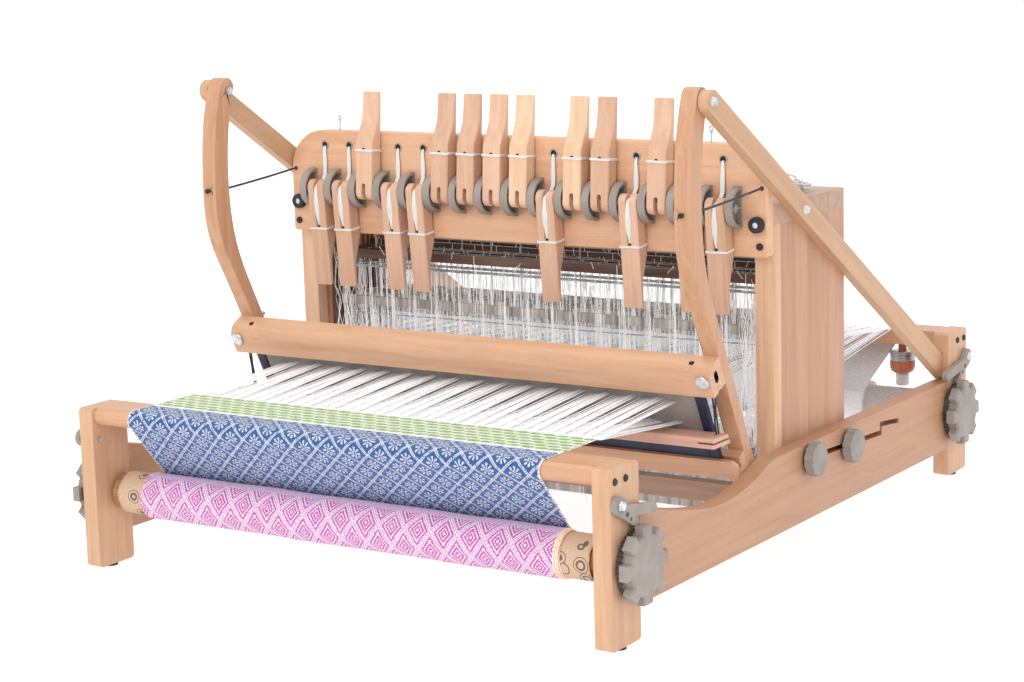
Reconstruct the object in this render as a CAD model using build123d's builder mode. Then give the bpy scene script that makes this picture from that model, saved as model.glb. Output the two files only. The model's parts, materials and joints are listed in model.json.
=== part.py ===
"""Table loom with sixteen shafts: lever-operated heddle frames in a castle on a four-legged frame.

X runs along the beams, -Y is the weaver's side and +Z is up. The origin is the centre of the
loom's footprint on the table. All sizes are in millimetres.
"""

from build123d import *
import os
from math import atan2, asin, cos, hypot, radians, sin, tan

os.makedirs("parts", exist_ok=True)

# ---------------------------------------------------------------- driving dimensions
HALF_WIDTH = 390.0  # outer faces of legs and side rails
BOARD = 23.0  # thickness of legs and side rails
HALF_LENGTH = 503.0  # front and back faces of the legs
FOOT_H, FOOT_R = 4.0, 9.0
LEG_DEPTH = 64.0
LEG_TOP = 211.0
RAIL_BOTTOM, RAIL_TOP = 44.0, 143.0
INNER = HALF_WIDTH - BOARD  # inner faces of legs and side rails
LEG_Y = HALF_LENGTH - LEG_DEPTH / 2

BEAM_T = 22.0  # breast and back beam thickness
BEAM_DEPTH = 57.0
BEAM_Y = 500.0  # nose of each beam

AXLE_Y, AXLE_Z = 456.0, 96.0  # cloth beam in front, warp beam behind
AXLE_R = 9.0

CASTLE_FRONT, CASTLE_BACK = -61.0, 142.0
CASTLE_T = 20.0
CASTLE_TOP = 425.0
CASTLE_BOTTOM = 48.0
STILE_W, STILE_D = 25.0, 20.0
TOP_T = 25.0
GUIDE_T, GUIDE_BACK = 12.0, 127.0  # grooved guides for the ends of the heddle frames
GROOVE_W, GROOVE_DEPTH = 6.6, 5.0
CROSS_Z, CROSS_H = 77.0, 25.0  # cross rails low in the castle
CASTLE_BOLT_Y, CASTLE_BOLT_Z = 4.0, 437.5  # bolt from each brace into the top board
BOLT_REACH = 27.0

BOARD_T = 16.0  # lever board
LEVER_BOARD_BOTTOM, LEVER_BOARD_TOP = 386.0, 526.0
LEVER_BOARD_FRONT = CASTLE_FRONT - BOARD_T
CORD_HOLE_Z, CORD_HOLE_R = 506.0, 4.0
CORD_R = 1.2
ELASTIC_X, ELASTIC_BOARD_Z, ELASTIC_R = 360.0, 472.0, 1.5
BUMPER_X, BUMPER_Z, BUMPER_R, BUMPER_T = 354.0, 427.0, 10.0, 8.0
RECESS_R, RECESS_DEPTH = 3.8, 3.0  # for the screw in a bumper
BOARD_SCREW_X, BOARD_SCREW_Z = 357.0, 400.0

SHAFTS = 16
LEVER_PITCH = 41.0
LEVER_X0 = -LEVER_PITCH * (SHAFTS - 1) / 2
PIVOT_Y, PIVOT_Z = -93.5, 448.0  # lever rod
ROD_R = 3.0
FIT = 0.05  # running clearance on a radius
BRACKET_W, BRACKET_FRONT, BRACKET_HALF = 10.5, -105.5, 26.0
BRACKET_WALL = 2.5
LEVER_W, LEVER_T = 27.0, 21.0
LEVER_TAIL, LEVER_LENGTH = 12.5, 133.0  # behind and beyond the rod
GRIP_V, TAPER_V, GRIP_IN, GRIP_TIP = 66.0, 97.0, 3.0, 5.5  # where a lever's front steps back to its thin grip
SLOT_W, SLOT_TOP, GROOVE_IN, TIE_V = 6.0, 10.0, 3.0, 54.0  # slot through the tail, and where the cord is tied
LEAN_UP, LEAN_DOWN = 4.0, 5.0  # degrees that a lever leans back
LEVERS_DOWN = (1, 2, 4, 5, 10, 13, 15, 16)

SHAFT_Y0, SHAFT_PITCH = -34.0, 10.4
SHAFT_T = 6.0
SHAFT_LIFT = 70.0
SHAFT_HALF = 338.0
SHAFT_BOTTOM, SHAFT_TOP, BAR_H = 42.0, 288.0, 12.0  # of a lowered heddle frame
HEDDLE_ROD_R = 1.0
HEDDLE_EYE_Z = 171.0

SWING_Y, SWING_Z = -236.0, 591.0  # beater pivot, at the top of the braces
SWORD_X0, SWORD_X1 = 344.0, 366.0
BRACE_T, BRACE_W = 13.0, 28.0
BRACE_SLOPE = 32.4  # degrees below the horizontal
BEATER_TILT = 26.0  # degrees from vertical, lower stretch of the swords
BEATER_Y, BEATER_Z = -205.0, 288.0  # start of that stretch, on the front face
SWORD_ELASTIC_X, ELASTIC_SWORD_Z, ELASTIC_KNOT_R = 355.0, 461.5, 3.5
HANDRAIL_DEPTH, HANDRAIL_TOP, HANDRAIL_BOTTOM = 32.0, 4.0, 42.0  # out from and down the swords
LOWER_RAIL_DEPTH, LOWER_RAIL_TOP, LOWER_RAIL_BOTTOM = 25.0, 145.0, 172.0
SWORD_BOLT_X, BOLT_V, BOLT_BACK, CARRIAGE_R = 355.0, 20.0, 31.0, 9.0
NUT_R, NUT_T, NUT_BACK = 5.5, 4.0, 24.5
REED_HALF, REED_U, REED_T = 343.0, 17.0, 6.0
REED_TOP, REED_BOTTOM, REED_SEAT = 40.0, 158.0, 2.0
REED_STRIP, REED_CHANNEL, REED_CHANNEL_LOW, REED_PLATE = 13.0, 8.0, 128.0, 1.2
RACE_FRONT, RACE_BACK, RACE_BOTTOM, RACE_TOP = -219.0, -182.0, 174.0, 187.0
RACE_SLIT, RACE_SLIT_H = 22.0, 2.0

CLOTH_X0, CLOTH_X1 = -309.0, 299.0
CLOTH_T = 1.5
CLOTH_ROLL_R, PAPER_R = 29.5, 26.8
WARP_HALF = 305.0
FELL_Y = -375.0
WARP_ROLL_R, CARD_R = 33.0, 27.0
PAPER_HALF, CARD_HALF, WARP_ROLL_HALF = 350.0, 340.0, 262.0
WARP_T, SOFT_GAP = 0.8, 0.4
BEAM_R, BEAM_HALF, AXLE_HALF = 22.0, 362.0, 404.0

WHEEL_R, WHEEL_T = 45.0, 13.0
WHEEL_OUT = 411.5  # outer face of the hand wheels
WHEEL_BODY_R, LOBES, LOBE_LENGTH, LOBE_W = 36.0, 8, 14.0, 18.0
RATCHET_R, RATCHET_ROOT, RATCHET_TEETH, RATCHET_T = 40.5, 37.5, 40, 7.0
RATCHET_STEP = 1.5  # degrees from a tooth's tip down its steep side
PAWL_Y, PAWL_Z, PAWL_IN, PAWL_T = 492.0, 170.0, 390.5, 7.5
KNOBS = ((-11.0, 123.5), (101.0, 118.0))  # y and z of the castle's clamp knobs
KNOB_R, KNOB_T, KNOB_SIDES = 22.0, 12.0, 12
SCALLOP_R, SCALLOP_OUT = 3.6, 2.2  # finger hollows round a knob, centred just outside its rim
WASHER_R, WASHER_T = 12.0, 3.0
KNOB_GAP = 1.0  # between a knob and its washer

WEIGHT_X, WEIGHT_Y = 299.0, 485.0  # selvedge weight hung under the back beam
YARN_R, YARN_Z = 10.0, 121.0
RING_R, RING_Z, RING_TOP = 18.7, 140.0, 172.0
DOWEL_R, DOWEL_TOP, DOWEL_TIP = 6.2, 183.0, 188.4

SCREW_R, SCREW_HEAD_R = 2.0, 4.5
LEG_SCREWS = (469.0, 492.0)  # distances from the middle, at one height
LEG_SCREW_Z, LEG_SCREW_REACH = 196.5, 20.0
FOOT_BOLT_Y, FOOT_BOLT_Z, FOOT_BOLT_R = 444.0, 156.5, 2.5  # brace foot to back leg
FOOT_HEAD_R, FOOT_HEAD_T, SINK_R = 5.0, 2.5, 5.4  # its head, sunk flush into the leg
PIN_HEAD_R, PIN_HEAD_T = 6.5, 4.0
CORNER_R, EASE = 6.0, 1.2  # rounded corners of the legs, and eased edges of the wood
REBATE_DEPTH, REBATE_Z, REBATE_H = 11.0, 158.0, 48.0  # where a brace's foot is let into its leg
THROUGH = 60.0  # long enough to cut through any piece


def side_plane(x):
    """Sketch plane across the loom at x, with local axes along Y and Z."""
    return Plane.YZ.offset(x)


def beater_plane(x):
    """Plane across the loom at x, with local x out of the swords' front face and local y down it."""
    tilt = radians(BEATER_TILT)
    return Plane(origin=(x, BEATER_Y, BEATER_Z), x_dir=(0, -cos(tilt), -sin(tilt)), z_dir=(1, 0, 0))


def bolt_plane_at(v):
    """Plane across the swords' front face at v down it, with local x along the loom's width."""
    face = beater_plane(0)
    return Plane(origin=face.from_local_coords((0, v, 0)), x_dir=(1, 0, 0), z_dir=face.x_dir)


def lever_x(number):
    """Centre of a lever across the loom."""
    return LEVER_X0 + LEVER_PITCH * (number - 1)


def shaft_y(number):
    """Centre of a heddle frame along the loom."""
    return SHAFT_Y0 + SHAFT_PITCH * (number - 1)


def axle_plane(y):
    """Plane through a beam's axle at y, with local x along the axle and local y upwards."""
    return Plane(origin=(0, y, AXLE_Z), x_dir=(1, 0, 0), z_dir=(0, -1, 0))


def lever_plane(x, lean):
    """Plane across the loom at x through the lever rod, with local y up a lever that leans forward."""
    turn = radians(lean)
    return Plane(origin=(x, PIVOT_Y, PIVOT_Z), x_dir=(0, cos(turn), sin(turn)), z_dir=(1, 0, 0))


def lever_face(x, lean):
    """Plane through the lever rod along a lever's width, with local y up it, seen from its front."""
    turn = radians(lean)
    return Plane(origin=(x, PIVOT_Y, PIVOT_Z), x_dir=(1, 0, 0), z_dir=(0, -cos(turn), -sin(turn)))


def pawl_point(side, inward, up):
    """A point of a pawl, measured inwards along the loom and up from the beam's axle."""
    return side * (AXLE_Y - inward), AXLE_Z + up


def cross_tangent(first, first_r, second, second_r, side):
    """End points of the line that leaves one circle's outer side and meets the other's far side."""
    run, rise = second[0] - first[0], second[1] - first[1]
    angle = atan2(rise, run) + side * asin((first_r + second_r) / hypot(run, rise))
    out = (side * sin(angle), -side * cos(angle))
    return ((first[0] + out[0] * first_r, first[1] + out[1] * first_r),
            (second[0] - out[0] * second_r, second[1] - out[1] * second_r))


def save(label, *pieces):
    """Labels a node's finished pieces and writes them as one file, each piece its own solid."""
    whole = pieces[0].part
    if len(pieces) > 1:
        whole = Compound([solid for piece in pieces for solid in piece.part.solids()])
    whole.label = label
    export_step(whole, f"parts/{label}.step")


# ---------------------------------------------------------------- frame
# Four legs, with eased corners, axle bores, screw holes and a rebate for each brace's foot
with BuildPart() as legs:
    with BuildSketch(side_plane(INNER)):
        with Locations((-LEG_Y, (LEG_TOP + FOOT_H) / 2), (LEG_Y, (LEG_TOP + FOOT_H) / 2)):
            RectangleRounded(LEG_DEPTH, LEG_TOP - FOOT_H, CORNER_R)
    extrude(amount=BOARD)
    chamfer(legs.edges().filter_by(GeomType.LINE).filter_by(Axis.Z).group_by(Axis.X)[-1], EASE)
    with BuildSketch(side_plane(INNER)):
        with Locations((-AXLE_Y, AXLE_Z), (AXLE_Y, AXLE_Z)):
            Circle(AXLE_R + FIT)
        with Locations((-PAWL_Y, PAWL_Z), (PAWL_Y, PAWL_Z)):
            Circle(ROD_R)
        with Locations(*[(sign * y, LEG_SCREW_Z) for y in LEG_SCREWS for sign in (-1, 1)]):
            Circle(SCREW_R)
        with Locations((FOOT_BOLT_Y, FOOT_BOLT_Z)):
            Circle(FOOT_BOLT_R)
    extrude(amount=BOARD, mode=Mode.SUBTRACT)
    with BuildSketch(side_plane(HALF_WIDTH)):
        with Locations((FOOT_BOLT_Y, FOOT_BOLT_Z)):
            Circle(SINK_R)
    extrude(amount=-FOOT_HEAD_T - FIT, mode=Mode.SUBTRACT)
    with BuildSketch(side_plane(INNER)):
        with Locations((LEG_Y - LEG_DEPTH / 2 + REBATE_DEPTH / 2, REBATE_Z)):
            Rectangle(REBATE_DEPTH, REBATE_H)
    extrude(amount=BRACE_T, mode=Mode.SUBTRACT)
    mirror(about=Plane.YZ)
save("legs", legs)

# Side rails between the legs, dipped behind the front legs, with the castle's stepped slot
with BuildPart() as side_rails:
    with BuildSketch(side_plane(INNER)):
        with BuildLine():
            front = -HALF_LENGTH + LEG_DEPTH
            dip = Spline((front, 154), (-390, 143), (-300, 122.5), (-245, 116.5), (-190, 121),
                         (-140, 133), (-95, RAIL_TOP), tangents=((1, -0.2), (1, 0)))
            Polyline(dip @ 1, (-front, RAIL_TOP), (-front, RAIL_BOTTOM), (front, RAIL_BOTTOM), dip @ 0)
        make_face()
    extrude(amount=BOARD)
    chamfer(side_rails.faces().sort_by(Axis.X)[-1].edges().group_by(Axis.Z)[0], EASE)
    with BuildSketch(side_plane(INNER)):
        with BuildLine():
            Polyline((-16, 127.2), (204.5, 117), (204.5, 128.5), (266, 122.5), (266, 116), (211, 121.3),
                     (211, 109.9), (-16, 120.3), close=True)
        make_face()
    extrude(amount=BOARD, mode=Mode.SUBTRACT)
    mirror(about=Plane.YZ)
save("side_rails", side_rails)

# Round-nosed breast beam in front and back beam behind, screwed between the legs
with BuildPart() as beams:
    with BuildSketch(side_plane(-INNER)):
        with BuildLine():
            nose_y = -BEAM_Y + BEAM_T / 2
            bottom = LEG_TOP - BEAM_T
            ThreePointArc((nose_y, LEG_TOP), (-BEAM_Y, LEG_TOP - BEAM_T / 2), (nose_y, bottom))
            Polyline((nose_y, bottom), (-BEAM_Y + BEAM_DEPTH, bottom), (-BEAM_Y + BEAM_DEPTH, LEG_TOP),
                     (nose_y, LEG_TOP))
        make_face()
        mirror(about=Plane.YZ)
    extrude(amount=2 * INNER)
    for end in (-INNER, INNER):
        with BuildSketch(side_plane(end)):
            with Locations(*[(sign * y, LEG_SCREW_Z) for y in LEG_SCREWS for sign in (-1, 1)]):
                Circle(SCREW_R)
        extrude(amount=BOARD, both=True, mode=Mode.SUBTRACT)
save("breast_and_back_beam", beams)

# Braces from the back legs up past the castle to the beater's pivots
slope = radians(BRACE_SLOPE)
brace_end = LEG_Y - LEG_DEPTH / 2 + REBATE_DEPTH - 1
with BuildPart() as braces:
    with BuildSketch(side_plane(INNER)):
        with BuildLine():
            half = BRACE_W / 2
            across = (half * sin(slope), half * cos(slope))
            foot_z = SWING_Z - (brace_end - SWING_Y) * tan(slope)
            upper = (SWING_Y + across[0], SWING_Z + across[1])
            lower = (SWING_Y - across[0], SWING_Z - across[1])
            ThreePointArc(lower, (SWING_Y - half * cos(slope), SWING_Z + half * sin(slope)), upper)
            Polyline(upper, (brace_end, foot_z + half / cos(slope)), (brace_end, foot_z - half / cos(slope)),
                     lower)
        make_face()
        with Locations((SWING_Y, SWING_Z), (CASTLE_BOLT_Y, CASTLE_BOLT_Z)):
            Circle(ROD_R, mode=Mode.SUBTRACT)
        with Locations((FOOT_BOLT_Y, FOOT_BOLT_Z)):
            Circle(FOOT_BOLT_R, mode=Mode.SUBTRACT)
    extrude(amount=BRACE_T)
    mirror(about=Plane.YZ)
save("braces", braces)

# ---------------------------------------------------------------- castle
side_back = CASTLE_FRONT + STILE_D
with BuildPart() as castle_sides:
    with BuildSketch(side_plane(INNER - CASTLE_T)):
        with Locations(((side_back + CASTLE_BACK) / 2, (CASTLE_TOP + CASTLE_BOTTOM) / 2)):
            Rectangle(CASTLE_BACK - side_back, CASTLE_TOP - CASTLE_BOTTOM)
        with Locations(*KNOBS):
            Circle(ROD_R, mode=Mode.SUBTRACT)
    extrude(amount=CASTLE_T)
    mirror(about=Plane.YZ)

with BuildPart() as castle_stiles:
    with BuildSketch(Plane.XY.offset(CASTLE_BOTTOM)):
        with Locations((INNER - STILE_W / 2, CASTLE_FRONT + STILE_D / 2)):
            Rectangle(STILE_W, STILE_D)
    extrude(amount=CASTLE_TOP - CASTLE_BOTTOM)
    mirror(about=Plane.YZ)

with BuildPart() as shaft_guides:
    with BuildSketch(Plane.XY.offset(CASTLE_BOTTOM)):
        with Locations((INNER - CASTLE_T - GUIDE_T / 2, (side_back + GUIDE_BACK) / 2)):
            Rectangle(GUIDE_T, GUIDE_BACK - side_back)
        with Locations(*[(INNER - CASTLE_T - GUIDE_T, shaft_y(number)) for number in range(1, SHAFTS + 1)]):
            Rectangle(2 * GROOVE_DEPTH, GROOVE_W, mode=Mode.SUBTRACT)
    extrude(amount=CASTLE_TOP - CASTLE_BOTTOM)
    mirror(about=Plane.YZ)

with BuildPart() as castle_top:
    with BuildSketch(Plane.XY.offset(CASTLE_TOP)):
        with Locations((0, (CASTLE_FRONT + CASTLE_BACK) / 2)):
            Rectangle(2 * INNER, CASTLE_BACK - CASTLE_FRONT)
        with Locations(*[(lever_x(number), shaft_y(number)) for number in range(1, SHAFTS + 1)]):
            Circle(CORD_HOLE_R, mode=Mode.SUBTRACT)
    extrude(amount=TOP_T)
    for end in (-INNER, INNER):
        with BuildSketch(side_plane(end)):
            with Locations((CASTLE_BOLT_Y, CASTLE_BOLT_Z)):
                Circle(ROD_R)
        extrude(amount=BOLT_REACH, both=True, mode=Mode.SUBTRACT)

with BuildPart() as castle_rails:
    with BuildSketch(Plane.XZ.offset(-side_back)):
        with Locations((0, CROSS_Z)):
            Rectangle(2 * (INNER - STILE_W), CROSS_H)
    extrude(amount=STILE_D - 1)
    with BuildSketch(Plane.XZ.offset(-CASTLE_BACK)):
        with Locations((0, CROSS_Z)):
            Rectangle(2 * (INNER - CASTLE_T), CROSS_H)
    extrude(amount=CASTLE_BACK - GUIDE_BACK)
save("castle_frame", castle_sides, castle_stiles, shaft_guides, castle_top, castle_rails)

# Board that carries the levers, with a hole for each lift cord and for the two elastic cords
with BuildPart() as lever_board:
    with BuildSketch(Plane.XZ.offset(-CASTLE_FRONT)) as board_face:
        with Locations((0, (LEVER_BOARD_BOTTOM + LEVER_BOARD_TOP) / 2)):
            Rectangle(2 * INNER, LEVER_BOARD_TOP - LEVER_BOARD_BOTTOM)
        fillet(board_face.vertices().group_by(Axis.Y)[-1], 55)
        fillet(board_face.vertices().group_by(Axis.Y)[0], 5)
        with Locations(*[(lever_x(number), CORD_HOLE_Z) for number in range(1, SHAFTS + 1)]):
            Circle(CORD_HOLE_R, mode=Mode.SUBTRACT)
        for side in (-1, 1):
            with Locations((side * ELASTIC_X, ELASTIC_BOARD_Z)):
                Circle(2 * ELASTIC_R, mode=Mode.SUBTRACT)
            with Locations((side * BUMPER_X, BUMPER_Z), (side * BOARD_SCREW_X, BOARD_SCREW_Z)):
                Circle(SCREW_R, mode=Mode.SUBTRACT)
    extrude(amount=BOARD_T)
    chamfer(lever_board.faces().sort_by(Axis.Y)[0].outer_wire().edges(), 1.5)
save("lever_board", lever_board)

# Brackets between the levers: D-shaped mouldings, hollow towards +X with one rib across
with BuildPart() as lever_brackets:
    bracket_xs = [lever_x(step) - LEVER_PITCH / 2 - BRACKET_W / 2 for step in range(1, SHAFTS + 2)]
    for bracket_x in bracket_xs:
        with BuildSketch(side_plane(bracket_x)):
            with BuildLine():
                ThreePointArc((LEVER_BOARD_FRONT, PIVOT_Z + BRACKET_HALF), (BRACKET_FRONT, PIVOT_Z),
                              (LEVER_BOARD_FRONT, PIVOT_Z - BRACKET_HALF))
                Line((LEVER_BOARD_FRONT, PIVOT_Z - BRACKET_HALF), (LEVER_BOARD_FRONT, PIVOT_Z + BRACKET_HALF))
            make_face()
            with Locations((PIVOT_Y, PIVOT_Z)):
                Circle(ROD_R, mode=Mode.SUBTRACT)
        extrude(amount=BRACKET_W)
        with BuildSketch(side_plane(bracket_x + BRACKET_WALL)):
            with BuildLine():
                back = LEVER_BOARD_FRONT - BRACKET_WALL
                half = BRACKET_HALF - 2 * BRACKET_WALL
                ThreePointArc((back, PIVOT_Z + half), (BRACKET_FRONT + BRACKET_WALL, PIVOT_Z),
                              (back, PIVOT_Z - half))
                Line((back, PIVOT_Z - half), (back, PIVOT_Z + half))
            make_face()
            with Locations((PIVOT_Y, PIVOT_Z)):
                Circle(ROD_R + BRACKET_WALL, mode=Mode.SUBTRACT)
                Rectangle(2 * BRACKET_HALF, BRACKET_WALL, mode=Mode.SUBTRACT)
        extrude(amount=BRACKET_W, mode=Mode.SUBTRACT)
save("lever_brackets", lever_brackets)

# Levers: each swings on the rod between an upright rest and one that hangs past the vertical
for number in range(1, SHAFTS + 1):
    lean = 180 + LEAN_DOWN if number in LEVERS_DOWN else -LEAN_UP
    left = lever_x(number) - LEVER_W / 2
    half = LEVER_T / 2
    with BuildPart() as lever:
        with BuildSketch(lever_plane(left, lean)):
            with BuildLine():
                ThreePointArc((half, half - LEVER_TAIL), (0, -LEVER_TAIL), (-half, half - LEVER_TAIL))
                Polyline((-half, half - LEVER_TAIL), (-half, GRIP_V), (GRIP_IN, TAPER_V),
                         (GRIP_TIP, LEVER_LENGTH), (half, LEVER_LENGTH), (half, half - LEVER_TAIL))
            make_face()
        extrude(amount=LEVER_W)
        chamfer(lever.faces().filter_by(Axis.X).edges(), EASE)
        with BuildSketch(lever_plane(left, lean)):
            Circle(ROD_R + FIT)
        extrude(amount=LEVER_W, mode=Mode.SUBTRACT)
        # round-ended slot through the tail, and a groove in the back up to where the cord is tied
        back = lever_face(lever_x(number), lean).offset(-half)
        for low, high, deep in ((-LEVER_TAIL - SLOT_W, SLOT_TOP, LEVER_T), (0, TIE_V, GROOVE_IN)):
            with BuildSketch(back):
                with Locations((0, (low + high) / 2)):
                    SlotOverall(high - low, SLOT_W, rotation=90)
            extrude(amount=deep, mode=Mode.SUBTRACT)
    save(f"lever_{number:02d}", lever)

# Heddle frames: two bars, two end sticks that run in the guides and two thin rods for the heddles
for number in range(1, SHAFTS + 1):
    lift = SHAFT_LIFT if number in LEVERS_DOWN else 0
    back_face = shaft_y(number) + SHAFT_T / 2
    middle_z = (SHAFT_BOTTOM + SHAFT_TOP) / 2 + lift
    height = SHAFT_TOP - SHAFT_BOTTOM
    with BuildPart() as shaft_bars:
        with BuildSketch(Plane.XZ.offset(-back_face)):
            with Locations((0, middle_z)):
                with GridLocations(0, height - BAR_H, 1, 2):
                    Rectangle(2 * SHAFT_HALF, BAR_H)
        extrude(amount=SHAFT_T)
    with BuildPart() as shaft_sticks:
        with BuildSketch(Plane.XZ.offset(-back_face)):
            with Locations((0, middle_z)):
                with GridLocations(2 * SHAFT_HALF - SHAFT_T, 0, 2, 1):
                    Rectangle(SHAFT_T, height - 2 * BAR_H)
        extrude(amount=SHAFT_T)
    with BuildPart() as heddle_rods:
        with BuildSketch(side_plane(SHAFT_T - SHAFT_HALF)):
            with Locations((shaft_y(number), middle_z)):
                with GridLocations(0, height - 4 * BAR_H, 1, 2):
                    Circle(HEDDLE_ROD_R)
        extrude(amount=2 * (SHAFT_HALF - SHAFT_T))
    save(f"shaft_{number:02d}", shaft_bars, shaft_sticks, heddle_rods)

# ---------------------------------------------------------------- beater
bolt_plane = bolt_plane_at(BOLT_V)
lower_run = (sin(radians(BEATER_TILT)), -cos(radians(BEATER_TILT)))  # down the straight stretch
# Two swords, curved above and straight below, with the pivot bore and a hole for the elastic cord
with BuildPart() as beater_swords:
    with BuildSketch(side_plane(SWORD_X0)):
        with BuildLine():
            front_edge = Spline((-250, 596), (-263.5, 546), (-269.5, 475), (-262, 399), (-240, 353),
                                (BEATER_Y, BEATER_Z),
                                tangents=((-0.35, -1), lower_run))
            back_edge = Spline((-222, 596), (-236, 542), (-241, 468), (-228, 382), (-195, 310), (-175, 269),
                               tangents=((-0.35, -1), lower_run))
            ThreePointArc(front_edge @ 0, (SWING_Y, 608), back_edge @ 0)
            Polyline(front_edge @ 1, (-122, 118), (-103, 120), back_edge @ 1)
        make_face()
        with Locations((SWING_Y, SWING_Z)):
            Circle(ROD_R + FIT, mode=Mode.SUBTRACT)
    extrude(amount=SWORD_X1 - SWORD_X0)
    with BuildSketch(Plane(origin=(0, SWING_Y, ELASTIC_SWORD_Z), x_dir=(1, 0, 0), z_dir=(0, 1, 0))):
        with Locations((SWORD_ELASTIC_X, 0)):
            Circle(ELASTIC_R + 0.7)
    extrude(amount=-THROUGH, mode=Mode.SUBTRACT)
    with BuildSketch(bolt_plane):
        with Locations((SWORD_BOLT_X, 0)):
            Circle(ROD_R)
    extrude(amount=THROUGH, both=True, mode=Mode.SUBTRACT)
    mirror(about=Plane.YZ)
save("beater_swords", beater_swords)

# Two rails hold the reed in their grooves: a thick rounded handrail above and a thin rail below
with BuildPart() as handrail:
    with BuildSketch(beater_plane(-SWORD_X1)) as handrail_end:
        with Locations((HANDRAIL_DEPTH / 2, (HANDRAIL_TOP + HANDRAIL_BOTTOM) / 2)):
            Rectangle(HANDRAIL_DEPTH, HANDRAIL_BOTTOM - HANDRAIL_TOP)
        outer = handrail_end.vertices().group_by(Axis.X)[-1]
        fillet(outer.sort_by(Axis.Y)[0], 18)
        with Locations((REED_U, HANDRAIL_BOTTOM)):
            Rectangle(REED_T, 2 * REED_SEAT, mode=Mode.SUBTRACT)
    extrude(amount=2 * SWORD_X1)
    with BuildSketch(bolt_plane):
        with Locations((-SWORD_BOLT_X, 0), (SWORD_BOLT_X, 0)):
            Circle(ROD_R)
    extrude(amount=THROUGH, both=True, mode=Mode.SUBTRACT)

with BuildPart() as lower_rail:
    with BuildSketch(beater_plane(-SWORD_X1)):
        with Locations((LOWER_RAIL_DEPTH / 2, (LOWER_RAIL_TOP + LOWER_RAIL_BOTTOM) / 2)):
            Rectangle(LOWER_RAIL_DEPTH, LOWER_RAIL_BOTTOM - LOWER_RAIL_TOP)
        with Locations((REED_U, LOWER_RAIL_TOP)):
            Rectangle(REED_T, 2 * (REED_BOTTOM - LOWER_RAIL_TOP), mode=Mode.SUBTRACT)
    extrude(amount=2 * SWORD_X1)
    ends = lower_rail.faces().filter_by(Axis.X)
    chamfer([end.edges().sort_by(Axis.Y)[0] for end in ends], 6)
save("beater_rails", handrail, lower_rail)

# Carriage bolts through the handrail and the swords, with their nuts behind
with BuildPart() as beater_bolts:
    with BuildSketch(bolt_plane.offset(-BOLT_BACK)):
        with Locations((-SWORD_BOLT_X, 0), (SWORD_BOLT_X, 0)):
            Circle(ROD_R)
    extrude(amount=BOLT_BACK + HANDRAIL_DEPTH)
    with BuildSketch(bolt_plane.offset(HANDRAIL_DEPTH)):
        with Locations((-SWORD_BOLT_X, 0), (SWORD_BOLT_X, 0)):
            Circle(CARRIAGE_R)
    extrude(amount=3)
    fillet(beater_bolts.faces().sort_by(Axis.Y)[0:2].edges(), 2)
    with BuildSketch(bolt_plane.offset(-NUT_BACK)):
        with Locations((-SWORD_BOLT_X, 0), (SWORD_BOLT_X, 0)):
            RegularPolygon(NUT_R, 6)
    extrude(amount=NUT_T)
save("beater_bolts", beater_bolts)

# Reed: end strips and channels round a thin plate where its wires stand
with BuildPart() as reed:
    with BuildSketch(beater_plane(-REED_HALF)):
        with Locations((REED_U, (REED_TOP + REED_BOTTOM) / 2)):
            Rectangle(REED_T, REED_BOTTOM - REED_TOP)
    extrude(amount=2 * REED_HALF)
    for face_u in (REED_U - REED_T / 2, REED_U + REED_T / 2):
        with BuildSketch(bolt_plane_at((REED_TOP + REED_CHANNEL + REED_CHANNEL_LOW) / 2).offset(face_u)):
            Rectangle(2 * (REED_HALF - REED_STRIP), REED_CHANNEL_LOW - REED_TOP - REED_CHANNEL)
        extrude(amount=REED_T / 2 - REED_PLATE / 2, both=True, mode=Mode.SUBTRACT)
save("reed", reed)

# Shuttle race: a shelf in front of the reed, slit at both ends for the cords that it hangs on
with BuildPart() as shuttle_race:
    with BuildSketch(side_plane(-SWORD_X1)):
        with BuildLine():
            slant = (RACE_TOP - RACE_BOTTOM) * tan(radians(BEATER_TILT))
            Polyline((RACE_FRONT, RACE_BOTTOM), (RACE_FRONT, RACE_TOP), (RACE_BACK, RACE_TOP),
                     (RACE_BACK + slant, RACE_BOTTOM), close=True)
        make_face()
    extrude(amount=2 * SWORD_X1)
    chamfer(shuttle_race.faces().sort_by(Axis.Y)[0].edges().filter_by(Axis.X), 1.5)
    with BuildSketch(Plane.XZ.offset(-RACE_FRONT + 1)):
        with Locations((-SWORD_X1, (RACE_TOP + RACE_BOTTOM) / 2), (SWORD_X1, (RACE_TOP + RACE_BOTTOM) / 2)):
            Rectangle(2 * RACE_SLIT, RACE_SLIT_H)
    extrude(amount=-THROUGH, mode=Mode.SUBTRACT)
save("shuttle_race", shuttle_race)

# Elastic cords: one each side from the lever board through the sword, one each side to the race
with BuildPart() as elastic_cords:
    with BuildLine():
        pull = FilletPolyline((SWORD_ELASTIC_X, -273, ELASTIC_SWORD_Z),
                              (SWORD_ELASTIC_X, -234, ELASTIC_SWORD_Z),
                              (ELASTIC_X, -84, ELASTIC_BOARD_Z), (ELASTIC_X, -56, ELASTIC_BOARD_Z), radius=20)
    with BuildSketch(Plane(origin=pull @ 0, z_dir=pull % 0)):
        Circle(ELASTIC_R)
    sweep(path=pull)
    with Locations(pull @ 0, pull @ 1):
        Sphere(ELASTIC_KNOT_R)
    hang_top = beater_plane(SWORD_ELASTIC_X + 1).from_local_coords((21, HANDRAIL_BOTTOM + 0.6, 0))
    with BuildLine():
        hang = Line(hang_top, (SWORD_ELASTIC_X + 1, RACE_BACK - 9, RACE_TOP + 0.6))
    with BuildSketch(Plane(origin=hang @ 0, z_dir=hang % 0)):
        Circle(ELASTIC_R)
    sweep(path=hang)
    mirror(about=Plane.YZ)
save("elastic_cords", elastic_cords)

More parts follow.
